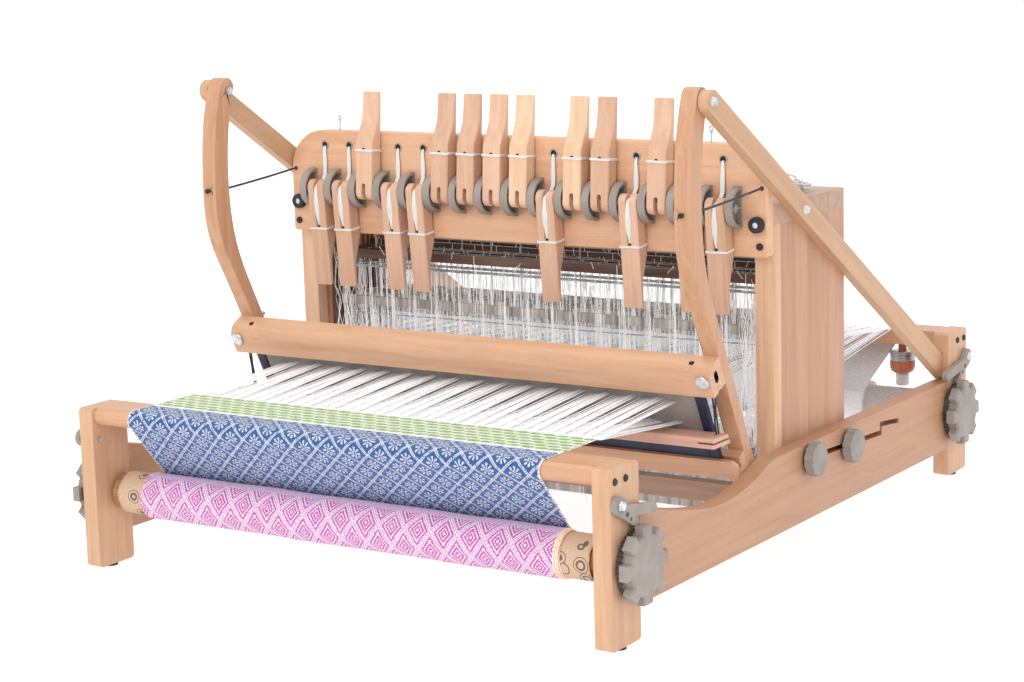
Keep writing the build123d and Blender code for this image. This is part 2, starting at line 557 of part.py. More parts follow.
# ---------------------------------------------------------------- beams
# Round wooden beams on their axles, with what is wound on them, each an outline turned about its axle
for label, y in (("cloth_beam", -AXLE_Y), ("warp_beam", AXLE_Y)):
    plane, axle = axle_plane(y), Axis((0, y, AXLE_Z), (1, 0, 0))
    with BuildPart() as beam:
        with BuildSketch(plane):
            with BuildLine():
                Polyline((-AXLE_HALF, 0), (-AXLE_HALF, AXLE_R), (-BEAM_HALF, AXLE_R), (-BEAM_HALF, BEAM_R),
                         (BEAM_HALF, BEAM_R), (BEAM_HALF, AXLE_R), (AXLE_HALF, AXLE_R), (AXLE_HALF, 0),
                         close=True)
            make_face()
        revolve(axis=axle)
    if label == "cloth_beam":
        save(label, beam)
        left, right, outer_r, inner_r, half = CLOTH_X0, CLOTH_X1 + 4, CLOTH_ROLL_R, PAPER_R, PAPER_HALF
    else:
        left, right = -WARP_ROLL_HALF, WARP_ROLL_HALF
        outer_r, inner_r, half = WARP_ROLL_R, CARD_R, CARD_HALF
    with BuildPart() as roll:
        with BuildSketch(plane):
            with BuildLine():
                Polyline((-half, BEAM_R), (-half, inner_r), (left, inner_r), (left, outer_r),
                         (right, outer_r), (right, inner_r), (half, inner_r), (half, BEAM_R), close=True)
            make_face()
        revolve(axis=axle)
    if label == "cloth_beam":
        save("cloth_roll", roll)
    else:
        save(label, beam, roll)

# Hand wheels with eight lobes, each with its ratchet ring, on both ends of each beam
for label, y, turn in (("cloth_beam_wheels", -AXLE_Y, 1), ("warp_beam_wheels", AXLE_Y, -1)):
    with BuildPart() as wheels:
        with BuildSketch(side_plane(WHEEL_OUT - WHEEL_T)):
            with Locations((y, AXLE_Z)):
                Circle(WHEEL_BODY_R)
                with PolarLocations(WHEEL_R - LOBE_LENGTH / 2, LOBES):
                    Rectangle(LOBE_LENGTH, LOBE_W)
        extrude(amount=WHEEL_T)
        chamfer(wheels.faces().sort_by(Axis.X)[-1].edges(), 2.5)
        with BuildSketch(side_plane(WHEEL_OUT - WHEEL_T)):
            with BuildLine():
                teeth = []
                for tooth in range(RATCHET_TEETH):
                    for offset_deg, radius in ((0, RATCHET_R), (RATCHET_STEP, RATCHET_ROOT)):
                        angle = radians(turn * (tooth * 360 / RATCHET_TEETH + offset_deg))
                        teeth.append((y + radius * cos(angle), AXLE_Z + radius * sin(angle)))
                Polyline(*teeth, close=True)
            make_face()
        extrude(amount=-RATCHET_T)
        with BuildSketch(side_plane(WHEEL_OUT - WHEEL_T - RATCHET_T)):
            with Locations((y, AXLE_Z)):
                Circle(AXLE_R)
        extrude(amount=AXLE_HALF - (WHEEL_OUT - WHEEL_T - RATCHET_T), mode=Mode.SUBTRACT)
        mirror(about=Plane.YZ)
    save(label, wheels)

# Pawls above the ratchets, each with a boss, a pointed arm and a finger tail
for label, side in (("front_pawls", -1), ("back_pawls", 1)):
    arm = (pawl_point(side, -36, 74), 11, pawl_point(side, 0.5, 43.5), 2)
    finger = (pawl_point(side, -24, 66), 7, pawl_point(side, 36, 57), 6)
    with BuildPart() as pawls:
        with BuildSketch(side_plane(PAWL_IN)):
            for first, first_r, second, second_r in (arm, finger):
                with BuildSketch(mode=Mode.PRIVATE) as ends:
                    with Locations(first):
                        Circle(first_r)
                    with Locations(second):
                        Circle(second_r)
                    make_hull()
                add(ends.sketch)
            with Locations(pawl_point(side, -23, 62)):
                Circle(3.2, mode=Mode.SUBTRACT)
            with Locations(pawl_point(side, -15, 55)):
                Circle(2.4, mode=Mode.SUBTRACT)
            with Locations((side * PAWL_Y, PAWL_Z)):
                Circle(ROD_R + FIT, mode=Mode.SUBTRACT)
        extrude(amount=PAWL_T)
        mirror(about=Plane.YZ)
    save(label, pawls)

# ---------------------------------------------------------------- fittings
# Clamp knobs of the castle, scalloped round the rim, each on a bolt through the rail's slot
for label, (y, z) in zip(("front_knobs", "rear_knobs"), KNOBS):
    with BuildPart() as knobs:
        with BuildSketch(side_plane(HALF_WIDTH + WASHER_T + KNOB_GAP)):
            with Locations((y, z)):
                Circle(KNOB_R)
                with PolarLocations(KNOB_R + SCALLOP_OUT, KNOB_SIDES):
                    Circle(SCALLOP_R, mode=Mode.SUBTRACT)
        extrude(amount=KNOB_T)
        fillet(knobs.faces().sort_by(Axis.X)[-1].edges(), 1)
        with BuildSketch(side_plane(HALF_WIDTH + WASHER_T + KNOB_GAP)):
            with Locations((y, z)):
                Circle(ROD_R + FIT)
        extrude(amount=KNOB_T - 3, mode=Mode.SUBTRACT)
        mirror(about=Plane.YZ)
    save(label, knobs)


# Bolts across the loom: y, z, shank radius, where the shank ends, head's seat, radius and thickness
bolts = [(sign * y, LEG_SCREW_Z, SCREW_R, INNER - LEG_SCREW_REACH, HALF_WIDTH, SCREW_HEAD_R, 2)
         for y in LEG_SCREWS for sign in (-1, 1)]
bolts += [(sign * PAWL_Y, PAWL_Z, ROD_R, INNER - 3, PAWL_IN + PAWL_T + SOFT_GAP, PIN_HEAD_R, 3)
          for sign in (-1, 1)]
bolts += [(FOOT_BOLT_Y, FOOT_BOLT_Z, FOOT_BOLT_R, INNER, HALF_WIDTH - FOOT_HEAD_T, FOOT_HEAD_R, FOOT_HEAD_T),
          (SWING_Y, SWING_Z, ROD_R, SWORD_X0 - 5, INNER + BRACE_T, PIN_HEAD_R, PIN_HEAD_T),
          (CASTLE_BOLT_Y, CASTLE_BOLT_Z, ROD_R, INNER - BOLT_REACH, INNER + BRACE_T, PIN_HEAD_R, PIN_HEAD_T)]
with BuildPart() as fasteners:
    for y, z, shank_r, tip, seat, head_r, head_t in bolts:
        with BuildSketch(side_plane(tip)):
            with Locations((y, z)):
                Circle(shank_r)
        extrude(amount=seat - tip)
        with BuildSketch(side_plane(seat)):
            with Locations((y, z)):
                Circle(head_r)
        extrude(amount=head_t, taper=30)
    for y, z in KNOBS:
        with BuildSketch(side_plane(INNER - CASTLE_T)):
            with Locations((y, z)):
                Circle(ROD_R)
        extrude(amount=HALF_WIDTH + WASHER_T + 7 - INNER + CASTLE_T)
        with BuildSketch(side_plane(HALF_WIDTH)):
            with Locations((y, z)):
                Circle(WASHER_R)
        extrude(amount=WASHER_T)
    with BuildSketch(side_plane(SWORD_X0 - NUT_T - 0.5)):
        with Locations((SWING_Y, SWING_Z)):
            RegularPolygon(NUT_R, 6)
    extrude(amount=NUT_T)
    for x, z, head_r in ((BUMPER_X, BUMPER_Z, RECESS_R), (BOARD_SCREW_X, BOARD_SCREW_Z, SCREW_HEAD_R)):
        seat = LEVER_BOARD_FRONT - (BUMPER_T - RECESS_DEPTH if x == BUMPER_X else 0)
        with BuildSketch(Plane.XZ.offset(-CASTLE_FRONT)):
            with Locations((x, z)):
                Circle(SCREW_R)
        extrude(amount=CASTLE_FRONT - seat)
        with BuildSketch(Plane.XZ.offset(-seat)):
            with Locations((x, z)):
                Circle(head_r)
        extrude(amount=2)
    mirror(about=Plane.YZ)
with BuildPart() as lever_rod:
    with BuildSketch(side_plane(bracket_xs[0] + 0.5)):
        with Locations((PIVOT_Y, PIVOT_Z)):
            Circle(ROD_R)
    extrude(amount=bracket_xs[-1] - bracket_xs[0] + BRACKET_W - 1)
save("fasteners", fasteners, lever_rod)

# Rubber: a foot under each leg and a bumper at each end of the lever board
with BuildPart() as feet:
    with BuildSketch():
        with GridLocations(2 * (HALF_WIDTH - BOARD / 2), 2 * LEG_Y, 2, 2):
            Circle(FOOT_R)
    extrude(amount=FOOT_H)
with BuildPart() as bumpers:
    with BuildSketch(Plane.XZ.offset(-LEVER_BOARD_FRONT)):
        with Locations((-BUMPER_X, BUMPER_Z), (BUMPER_X, BUMPER_Z)):
            Circle(BUMPER_R)
    extrude(amount=BUMPER_T)
    fillet(bumpers.faces().sort_by(Axis.Y)[0:2].edges(), 2)
    with BuildSketch(Plane.XZ.offset(-LEVER_BOARD_FRONT)):
        with Locations((-BUMPER_X, BUMPER_Z), (BUMPER_X, BUMPER_Z)):
            Circle(SCREW_R)
    extrude(amount=BUMPER_T, mode=Mode.SUBTRACT)
    with BuildSketch(Plane.XZ.offset(-LEVER_BOARD_FRONT + BUMPER_T - RECESS_DEPTH)):
        with Locations((-BUMPER_X, BUMPER_Z), (BUMPER_X, BUMPER_Z)):
            Circle(RECESS_R)
    extrude(amount=BUMPER_T, mode=Mode.SUBTRACT)
save("rubber_pads", feet, bumpers)

# ---------------------------------------------------------------- cloth and warp
nose = (BEAM_Y - BEAM_T / 2, LEG_TOP - BEAM_T / 2)
# The cloth lies on the breast beam, turns round its nose and slants back to the far side of its roll
with BuildPart() as woven_cloth:
    with BuildSketch(side_plane(CLOTH_X0)):
        with BuildLine():
            middle_r = BEAM_T / 2 + CLOTH_T / 2
            off_nose, on_roll = cross_tangent((-nose[0], nose[1]), middle_r, (-AXLE_Y, AXLE_Z),
                                              CLOTH_ROLL_R + CLOTH_T / 2 + SOFT_GAP, 1)
            Line((FELL_Y, nose[1] + middle_r), (-nose[0], nose[1] + middle_r))
            ThreePointArc((-nose[0], nose[1] + middle_r), (-nose[0] - middle_r, nose[1]), off_nose)
            Line(off_nose, on_roll)
        trace(line_width=CLOTH_T)
    extrude(amount=CLOTH_X1 - CLOTH_X0)
save("woven_cloth", woven_cloth)

# The warp runs in two layers from the cloth through the reed and the heddles to the back beam
with BuildPart() as warp_layers:
    with BuildSketch(side_plane(-WARP_HALF)):
        for eye_z in (HEDDLE_EYE_Z, HEDDLE_EYE_Z + SHAFT_LIFT):
            with BuildLine():
                Polyline((FELL_Y + 0.5, LEG_TOP - 0.5), (shaft_y((SHAFTS + 1) / 2), eye_z),
                         (BEAM_Y - BEAM_DEPTH - 6, LEG_TOP - 0.5))
            trace(line_width=WARP_T)
    extrude(amount=2 * WARP_HALF)
    with BuildSketch(beater_plane(-WARP_HALF - 1)):
        with Locations((REED_U, (REED_TOP + REED_BOTTOM) / 2)):
            Rectangle(REED_T + 1.2, REED_BOTTOM - REED_TOP)
    extrude(amount=2 * WARP_HALF + 2, mode=Mode.SUBTRACT)
with BuildPart() as warp_end:
    with BuildSketch(side_plane(-WARP_ROLL_HALF)):
        with BuildLine():
            middle_r = BEAM_T / 2 + WARP_T / 2
            off_nose, on_roll = cross_tangent(nose, middle_r, (AXLE_Y, AXLE_Z),
                                              WARP_ROLL_R + WARP_T / 2 + SOFT_GAP, -1)
            Line((BEAM_Y - BEAM_DEPTH + 1, nose[1] + middle_r), (nose[0], nose[1] + middle_r))
            ThreePointArc((nose[0], nose[1] + middle_r), (nose[0] + middle_r, nose[1]), off_nose)
            Line(off_nose, on_roll)
        trace(line_width=WARP_T)
    extrude(amount=2 * WARP_ROLL_HALF)
save("warp_sheet", warp_layers, warp_end)

# Selvedge weight: a dowel with a stack of washers, a wooden ring and a wound hank of yarn
with BuildPart() as selvedge_weight:
    with BuildSketch(Plane(origin=(WEIGHT_X, WEIGHT_Y, 0), x_dir=(1, 0, 0), z_dir=(0, -1, 0))):
        with BuildLine():
            Polyline((0, YARN_Z), (YARN_R - 1, YARN_Z), (YARN_R, YARN_Z + 2), (YARN_R, RING_Z),
                     (RING_R - 4, RING_Z), (RING_R, RING_Z + 4), (RING_R, RING_TOP), (DOWEL_R, RING_TOP),
                     (DOWEL_R, DOWEL_TOP), (1, DOWEL_TOP + 2), (1, DOWEL_TIP), (0, DOWEL_TIP), close=True)
        make_face()
    revolve(axis=Axis((WEIGHT_X, WEIGHT_Y, 0), (0, 0, 1)))
save("selvedge_weight", selvedge_weight)

# Lift cords: from each lever's hole in the board over the castle and down to its heddle frame
with BuildPart() as lift_cords:
    for number in range(1, SHAFTS + 1):
        lift = SHAFT_LIFT if number in LEVERS_DOWN else 0
        x = lever_x(number)
        with BuildLine():
            route = FilletPolyline((x, LEVER_BOARD_FRONT + 1, CORD_HOLE_Z),
                                   (x, CASTLE_FRONT + 6, CORD_HOLE_Z),
                                   (x, shaft_y(number), CASTLE_TOP + TOP_T + 14),
                                   (x, shaft_y(number), SHAFT_TOP + lift + 0.6), radius=5)
        with BuildSketch(Plane(origin=route @ 0, z_dir=route % 0)):
            Circle(CORD_R)
        sweep(path=route)
save("lift_cords", lift_cords)
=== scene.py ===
"""Looks of the sixteen-shaft table loom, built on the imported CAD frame. Lengths are in metres."""
import bpy
import json
import random
from math import asin, atan2, copysign, cos, hypot, pi, radians, sin, tau
from mathutils import Matrix, Vector


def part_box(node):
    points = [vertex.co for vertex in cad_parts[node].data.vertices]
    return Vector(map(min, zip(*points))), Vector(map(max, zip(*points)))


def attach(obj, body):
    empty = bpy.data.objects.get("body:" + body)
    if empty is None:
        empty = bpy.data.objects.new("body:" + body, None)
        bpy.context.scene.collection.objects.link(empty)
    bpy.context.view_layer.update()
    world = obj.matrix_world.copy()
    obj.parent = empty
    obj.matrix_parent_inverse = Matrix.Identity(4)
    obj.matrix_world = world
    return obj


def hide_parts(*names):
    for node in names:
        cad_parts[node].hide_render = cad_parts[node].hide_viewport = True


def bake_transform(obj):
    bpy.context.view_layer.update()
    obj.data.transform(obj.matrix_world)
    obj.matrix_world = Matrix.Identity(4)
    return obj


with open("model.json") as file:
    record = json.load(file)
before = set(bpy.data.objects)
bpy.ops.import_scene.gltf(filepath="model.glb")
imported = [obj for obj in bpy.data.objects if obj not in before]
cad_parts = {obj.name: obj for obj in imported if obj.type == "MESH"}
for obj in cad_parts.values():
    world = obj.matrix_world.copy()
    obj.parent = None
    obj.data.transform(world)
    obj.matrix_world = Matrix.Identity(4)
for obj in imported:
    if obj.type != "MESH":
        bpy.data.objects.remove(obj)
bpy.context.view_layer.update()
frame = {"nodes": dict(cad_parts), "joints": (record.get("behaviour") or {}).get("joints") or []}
random.seed(16)

MM = 0.001
PATTERN_W = 37.2 * MM  # one repeat of the cloth's pattern and of the threading
UP, BACK = (0, 0, 1), (0, 1, 0)
NUMBERS = range(1, 17)  # of the levers and of the heddle frames
JOINTS = {joint["name"]: joint for joint in frame["joints"]}
RAISED = [number for number in NUMBERS if JOINTS[f"lever_{number:02d}_swing"]["range_deg"][0] < -1]


# ------------------------------------------------------------------ small helpers
def srgb(red, green, blue):
    """Linear colour from 0-255 display values."""
    def channel(value):
        value /= 255
        return value / 12.92 if value <= 0.04045 else ((value + 0.055) / 1.055) ** 2.4
    return (channel(red), channel(green), channel(blue), 1)


class Shape:
    """Collects vertices and faces for one mesh piece."""

    def __init__(self):
        self.verts, self.faces, self.marks = [], [], []

    def face(self, corners, mark):
        self.faces.append(corners)
        self.marks.append(mark)

    def bridge(self, near, far, count, closed=True, flip=False, mark=0):
        """Faces between two rows of count points, whose first points are near and far."""
        for step in range(count if closed else count - 1):
            nxt = (step + 1) % count
            corners = (near + step, near + nxt, far + nxt, far + step)
            self.face(corners[::-1] if flip else corners, mark)

    def ends(self, first, rows, count, mark):
        """Closes the first and the last of some rows of count points."""
        last = first + (rows - 1) * count
        self.face(tuple(first + step for step in reversed(range(count))), mark)
        self.face(tuple(last + step for step in range(count)), mark)

    def tube(self, points, radius, sides=5, caps=True, mark=0):
        """Round tube along the points; radius is one number or one for each point."""
        points = [Vector(point) for point in points]
        first = len(self.verts)
        side = None
        for index, point in enumerate(points):
            along = (points[min(index + 1, len(points) - 1)] - points[max(index - 1, 0)]).normalized()
            side = two_across(along)[0] if side is None else (side - along * side.dot(along)).normalized()
            other = along.cross(side)
            for step in range(sides):
                angle = tau * step / sides
                self.verts.append(point + (side * cos(angle) + other * sin(angle)) * radius)
        for index in range(len(points) - 1):
            self.bridge(first + index * sides, first + (index + 1) * sides, sides, mark=mark)
        if caps:
            self.ends(first, len(points), sides, mark)

    def ring(self, centre, normal, major, minor, steps=28, sides=8, mark=0):
        """Torus round the centre."""
        normal = Vector(normal).normalized()
        side, other = two_across(normal)
        first = len(self.verts)
        for step in range(steps):
            out = side * cos(tau * step / steps) + other * sin(tau * step / steps)
            for turn in range(sides):
                phase = tau * turn / sides
                point = Vector(centre) + out * (major + minor * cos(phase)) + normal * minor * sin(phase)
                self.verts.append(point)
        for step in range(steps):
            self.bridge(first + step * sides, first + (step + 1) % steps * sides, sides, mark=mark)

    def lathe(self, centre, axis, profile, steps=48, mark=0):
        """Surface turned about axis through centre; profile holds (distance along, radius) pairs."""
        axis = Vector(axis).normalized()
        side, other = two_across(axis)
        first = len(self.verts)
        for along, radius in profile:
            for step in range(steps):
                out = side * cos(tau * step / steps) + other * sin(tau * step / steps)
                self.verts.append(Vector(centre) + axis * along + out * radius)
        for index in range(len(profile) - 1):
            self.bridge(first + index * steps, first + (index + 1) * steps, steps, mark=mark)
        self.ends(first, len(profile), steps, mark)

    def block(self, centre, size, turn, mark=0):
        """Box of the given size, turned by a 3x3 matrix."""
        first = len(self.verts)
        for x in (-0.5, 0.5):
            for y in (-0.5, 0.5):
                for z in (-0.5, 0.5):
                    corner = Vector((x * size[0], y * size[1], z * size[2]))
                    self.verts.append(Vector(centre) + turn @ corner)
        for face in ((0, 1, 3, 2), (4, 6, 7, 5), (0, 4, 5, 1), (2, 3, 7, 6), (0, 2, 6, 4), (1, 5, 7, 3)):
            self.face(tuple(first + corner for corner in face), mark)

    def build(self, name, materials, body=None, slot=None, replaces=(), smooth=True, uvs=None):
        """Makes the piece, gives it its materials by mark, and lets it ride on its body."""
        mesh = bpy.data.meshes.new(name)
        mesh.from_pydata([tuple(vert) for vert in self.verts], [], self.faces)
        for material in materials.split():
            mesh.materials.append(MATERIALS[material])
        mesh.polygons.foreach_set("material_index", self.marks)
        mesh.polygons.foreach_set("use_smooth", [smooth] * len(self.faces))
        if uvs:
            layer = mesh.uv_layers.new(name="UVMap")
            for loop in mesh.loops:
                layer.data[loop.index].uv = uvs[loop.vertex_index]
        mesh.validate()
        mesh.update()
        piece = bpy.data.objects.new(name, mesh)
        bpy.context.scene.collection.objects.link(piece)
        if smooth:
            mesh.set_sharp_from_angle(angle=radians(50))
        if body:
            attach(piece, body)
        if replaces:
            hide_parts(*replaces)
        return piece


def two_across(axis):
    """Two directions at right angles to the axis and to each other."""
    helper = Vector((0, 0, 1)) if abs(axis.z) < 0.9 else Vector((1, 0, 0))
    side = axis.cross(helper).normalized()
    return side, axis.cross(side)


# ------------------------------------------------------------------ materials
class Value:
    """A number that a material's nodes work out; the usual signs add a math node each."""

    def __init__(self, nodes, socket):
        self.nodes, self.socket = nodes, socket

    def math(self, operation, *others):
        node = self.nodes.add("ShaderNodeMath", operation=operation)
        for value, target in zip((self, *others), node.inputs):
            self.nodes.feed(value, target)
        return Value(self.nodes, node.outputs[0])

    def __add__(self, other):
        return self.math("ADD", other)

    def __sub__(self, other):
        return self.math("SUBTRACT", other)

    def __mul__(self, other):
        return self.math("MULTIPLY", other)

    def __truediv__(self, other):
        return self.math("DIVIDE", other)

    def __mod__(self, other):
        return self.math("MODULO", other)

    def __gt__(self, other):
        return self.math("GREATER_THAN", other)

    def __lt__(self, other):
        return self.math("LESS_THAN", other)

    def __or__(self, other):
        return self.math("MAXIMUM", other)

    def __abs__(self):
        return self.math("ABSOLUTE")

    def within(self, low, high):
        """1 where the value lies between low and high."""
        return (self > low) * (self < high)

    def flip(self):
        return self * -1 + 1


class Nodes:
    """A material's node tree with short calls for the nodes that these materials need."""

    def __init__(self, name, roughness=0.5, metallic=0.0, sheen=0.0):
        self.material = bpy.data.materials.new(name)
        self.material.use_nodes = True
        self.tree = self.material.node_tree
        self.shader = self.tree.nodes["Principled BSDF"]
        self.shader.inputs["Roughness"].default_value = roughness
        self.shader.inputs["Metallic"].default_value = metallic
        self.shader.inputs["Sheen Weight"].default_value = sheen

    def add(self, kind, **settings):
        node = self.tree.nodes.new(kind)
        for key, value in settings.items():
            setattr(node, key, value)
        return node

    def feed(self, source, target):
        """Links a worked-out value or a socket, or sets a plain value."""
        source = source.socket if isinstance(source, Value) else source
        if isinstance(source, bpy.types.NodeSocket):
            self.tree.links.new(source, target)
        else:
            target.default_value = source

    def place(self, scale=(1, 1, 1), turn=(0, 0, 0), offset=(0, 0, 0)):
        """Coordinates of the object, moved, turned and scaled."""
        mapping = self.add("ShaderNodeMapping")
        self.feed(self.add("ShaderNodeTexCoord").outputs["Object"], mapping.inputs["Vector"])
        mapping.inputs["Location"].default_value = offset
        mapping.inputs["Rotation"].default_value = turn
        mapping.inputs["Scale"].default_value = scale
        return mapping.outputs["Vector"]

    def split(self, vector):
        """The three numbers of a vector."""
        node = self.add("ShaderNodeSeparateXYZ")
        self.feed(vector, node.inputs[0])
        return [Value(self, output) for output in node.outputs]

    def noise(self, vector, scale=1.0, detail=4.0, distortion=0.0):
        node = self.add("ShaderNodeTexNoise")
        self.feed(vector, node.inputs["Vector"])
        node.inputs["Scale"].default_value = scale
        node.inputs["Detail"].default_value = detail
        node.inputs["Distortion"].default_value = distortion
        return Value(self, node.outputs["Fac"])

    def ramp(self, factor, *stops):
        """Colour that goes from one stop to the next; a stop is its position and its colour."""
        node = self.add("ShaderNodeValToRGB")
        self.feed(factor, node.inputs["Fac"])
        for element, (position, colour) in zip(node.color_ramp.elements, stops):
            element.position = position
            element.color = srgb(*colour) if len(colour) == 3 else colour
        return node.outputs["Color"]

    def mix(self, factor, first, second, blend="MIX"):
        node = self.add("ShaderNodeMix", data_type="RGBA", blend_type=blend)
        for value, target in zip((factor, first, second), (node.inputs[0], node.inputs[6], node.inputs[7])):
            self.feed(srgb(*value) if isinstance(value, tuple) else value, target)
        return node.outputs[2]

    def colour(self, source):
        self.feed(source, self.shader.inputs["Base Color"])

    def bump(self, height, strength, distance=0.0004):
        node = self.add("ShaderNodeBump")
        node.inputs["Strength"].default_value = strength
        node.inputs["Distance"].default_value = distance
        self.feed(height, node.inputs["Height"])
        self.feed(node.outputs["Normal"], self.shader.inputs["Normal"])
        return self.material

    def rough(self, factor, low, high):
        """Roughness that varies between two values."""
        self.feed(factor.math("MULTIPLY_ADD", high - low, low), self.shader.inputs["Roughness"])


def wood(name, light, dark, along="x", turn=0.0, seed=0.0, roughness=0.42, plank=0.0):
    """Straight-grained hardwood: long soft bands, short dark pores and a slow change of tone.
    With a plank width, strips side by side along Y differ a little in tone."""
    nodes = Nodes(name, roughness)
    placed = nodes.place(turn=(turn, 0, 0), offset=(seed, seed * 0.7, seed * 0.4))
    stretched = nodes.add("ShaderNodeVectorMath", operation="MULTIPLY")
    nodes.feed(placed, stretched.inputs[0])
    stretched.inputs[1].default_value = [0.06 if axis == along else 1 for axis in "xyz"]
    grain = stretched.outputs[0]
    bands = nodes.noise(grain, scale=95, detail=3, distortion=0.6)
    slow = nodes.noise(grain, scale=14, detail=2)
    pores = nodes.noise(grain, scale=900, detail=2)
    toned = nodes.mix(slow * 0.45, nodes.ramp(bands, (0.3, dark), (0.62, light)), dark)
    if plank:
        strip = nodes.split(placed)[1] / plank
        tone = nodes.add("ShaderNodeTexWhiteNoise", noise_dimensions="1D")
        nodes.feed(strip.math("FLOOR"), tone.inputs["W"])
        shade = nodes.ramp(tone.outputs["Value"], (0.0, (0.86, 0.8, 0.78, 1)), (1.0, (1.0, 1.0, 1.0, 1)))
        toned = nodes.mix(1.0, toned, shade, blend="MULTIPLY")
    flecks = nodes.ramp(pores, (0.33, (0.62, 0.5, 0.42, 1)), (0.43, (1, 1, 1, 1)))
    nodes.colour(nodes.mix(0.2, toned, flecks, blend="MULTIPLY"))
    nodes.rough(bands, roughness - 0.08, roughness + 0.1)
    return nodes.bump(pores, 0.12, 0.0003)


def plastic(name, light, dark, roughness=0.5):
    """Moulded plastic with a fine texture and a slight marbling."""
    nodes = Nodes(name, roughness)
    where = nodes.place()
    nodes.colour(nodes.ramp(nodes.noise(where, scale=38, detail=2), (0.3, dark), (0.7, light)))
    fine = nodes.noise(where, scale=2100, detail=2)
    nodes.rough(fine, roughness - 0.1, roughness + 0.12)
    return nodes.bump(fine, 0.2, 0.0002)


def metal(name, light, dark, roughness=0.28):
    """Zinc-plated steel with fine scratches and dull spots."""
    nodes = Nodes(name, roughness, metallic=1.0)
    where = nodes.place()
    spots = nodes.noise(where, scale=160)
    nodes.colour(nodes.ramp(spots, (0.3, dark), (0.7, light)))
    nodes.rough(spots, roughness, roughness + 0.2)
    return nodes.bump(nodes.noise(where, scale=2200, detail=1), 0.08, 0.0002)


def yarn(name, light, dark, sheen=0.3, glow=0.0):
    """Spun fibre: fine fuzzy streaks with a soft sheen; glow is painted light, an emission of the light
    colour that stands for light passing through the yarn.
    """
    nodes = Nodes(name, 0.85, sheen=sheen)
    nodes.shader.inputs["Emission Color"].default_value = srgb(*light)
    # painted light: at a glow above zero the yarn emits its own light colour, though it is no lamp
    nodes.shader.inputs["Emission Strength"].default_value = glow
    where = nodes.place()
    nodes.colour(nodes.ramp(nodes.noise(where, scale=520, detail=3), (0.3, dark), (0.6, light)))
    return nodes.bump(nodes.noise(where, scale=2600, detail=2), 0.4, 0.0002)


def braid(name, light, dark, pitch=0.0022):
    """Braided cord: crossing diagonal strands."""
    nodes = Nodes(name, 0.75, sheen=0.25)
    x, y, z = nodes.split(nodes.place())
    rate = tau / pitch
    rising = ((y + z + x) * rate).math("SINE")
    falling = ((y + z - x) * rate).math("SINE")
    weave = rising * falling * 0.5 + 0.5
    nodes.colour(nodes.ramp(weave, (0.2, dark), (0.7, light)))
    return nodes.bump(weave, 0.6)


class Weave(Nodes):
    """A woven cloth's material, worked out on the piece's own width u and length v in metres,
    both in steps of one thread and with a metre added."""

    def __init__(self, name, thread=0.0009):
        super().__init__(name, 0.88, sheen=0.25)
        self.raw = self.split(self.add("ShaderNodeTexCoord").outputs["UV"])[:2]
        self.thread = thread
        self.u, self.v = [(value + 1.0).math("SNAP", thread) for value in self.raw]

    def lattice(self, wide, tall):
        """Steps, from -0.5 to 0.5, off the nearest line of a rising and of a falling family."""
        along, up = self.u / wide, self.v / tall
        return [line - line.math("ROUND") for line in (along + up, along - up)]

    def speckle(self, share):
        """1 on a random share of the threads' crossings."""
        joined = self.add("ShaderNodeCombineXYZ")
        self.feed(self.u, joined.inputs[0])
        self.feed(self.v, joined.inputs[1])
        scaled = self.add("ShaderNodeVectorMath", operation="SCALE")
        self.feed(joined.outputs[0], scaled.inputs[0])
        scaled.inputs["Scale"].default_value = 1000
        white = self.add("ShaderNodeTexWhiteNoise", noise_dimensions="2D")
        self.feed(scaled.outputs[0], white.inputs["Vector"])
        return Value(self, white.outputs["Value"]) < share

    def finish(self, colour):
        """Puts the colour in place and raises the crossing threads."""
        self.colour(colour)
        over, under = [abs((value * (pi / self.thread)).math("SINE")) for value in self.raw]
        return self.bump(over * under, 0.6)


def overshot_cloth():
    """From the fell: green and white bricks, a white stripe, then blue with a lattice and snowflakes."""
    cloth = Weave("overshot_cloth")
    green_end, stripe_end = 1.0 + 0.075, 1.0 + 0.0805
    # green bricks with pointed ends, every other row moved along by half
    row_h, brick_w = 0.0125, PATTERN_W / 2
    row = (cloth.v / row_h).math("FLOOR")
    along = ((cloth.u + row % 2.0 * (brick_w / 2)) / brick_w).math("FRACT")
    up = (cloth.v / row_h).math("FRACT")
    to_end = abs(along - 0.5) * -1 + 0.5
    brick = abs(up - 0.5) < (to_end * 1.7).math("MINIMUM", 0.33)
    green = cloth.mix(cloth.speckle(0.5), (118, 158, 52), (146, 182, 84))
    bricks = cloth.mix(brick * cloth.speckle(0.08).flip(), (226, 232, 216), green)
    # blue ground with double lattice lines and an eight-petalled flower in each cell
    wide, tall = PATTERN_W, 0.035
    rising, falling = cloth.lattice(wide, tall)
    lines = abs(rising).within(0.014, 0.062) | abs(falling).within(0.014, 0.062)
    from_rising, from_falling = [(abs(line) - 0.5) * line.math("SIGN") for line in (rising, falling)]
    x = (from_rising + from_falling) * (wide / 2)
    y = (from_rising - from_falling) * (tall / 2)
    radius = (x * x + y * y).math("SQRT")
    petals = (y.math("ARCTAN2", x) * 8.0).math("COSINE")
    flower = (petals > 0.1) * radius.within(0.0012, 0.0085)
    ground = cloth.mix(cloth.speckle(0.4), (34, 76, 134), (54, 98, 158))
    flowers = cloth.mix((lines | flower) * cloth.speckle(0.06).flip(), ground, (208, 214, 226))
    # join the three zones along the length
    start = cloth.mix(cloth.v > green_end, bricks, (244, 244, 242))
    return cloth.finish(cloth.mix(cloth.v > stripe_end, start, flowers))


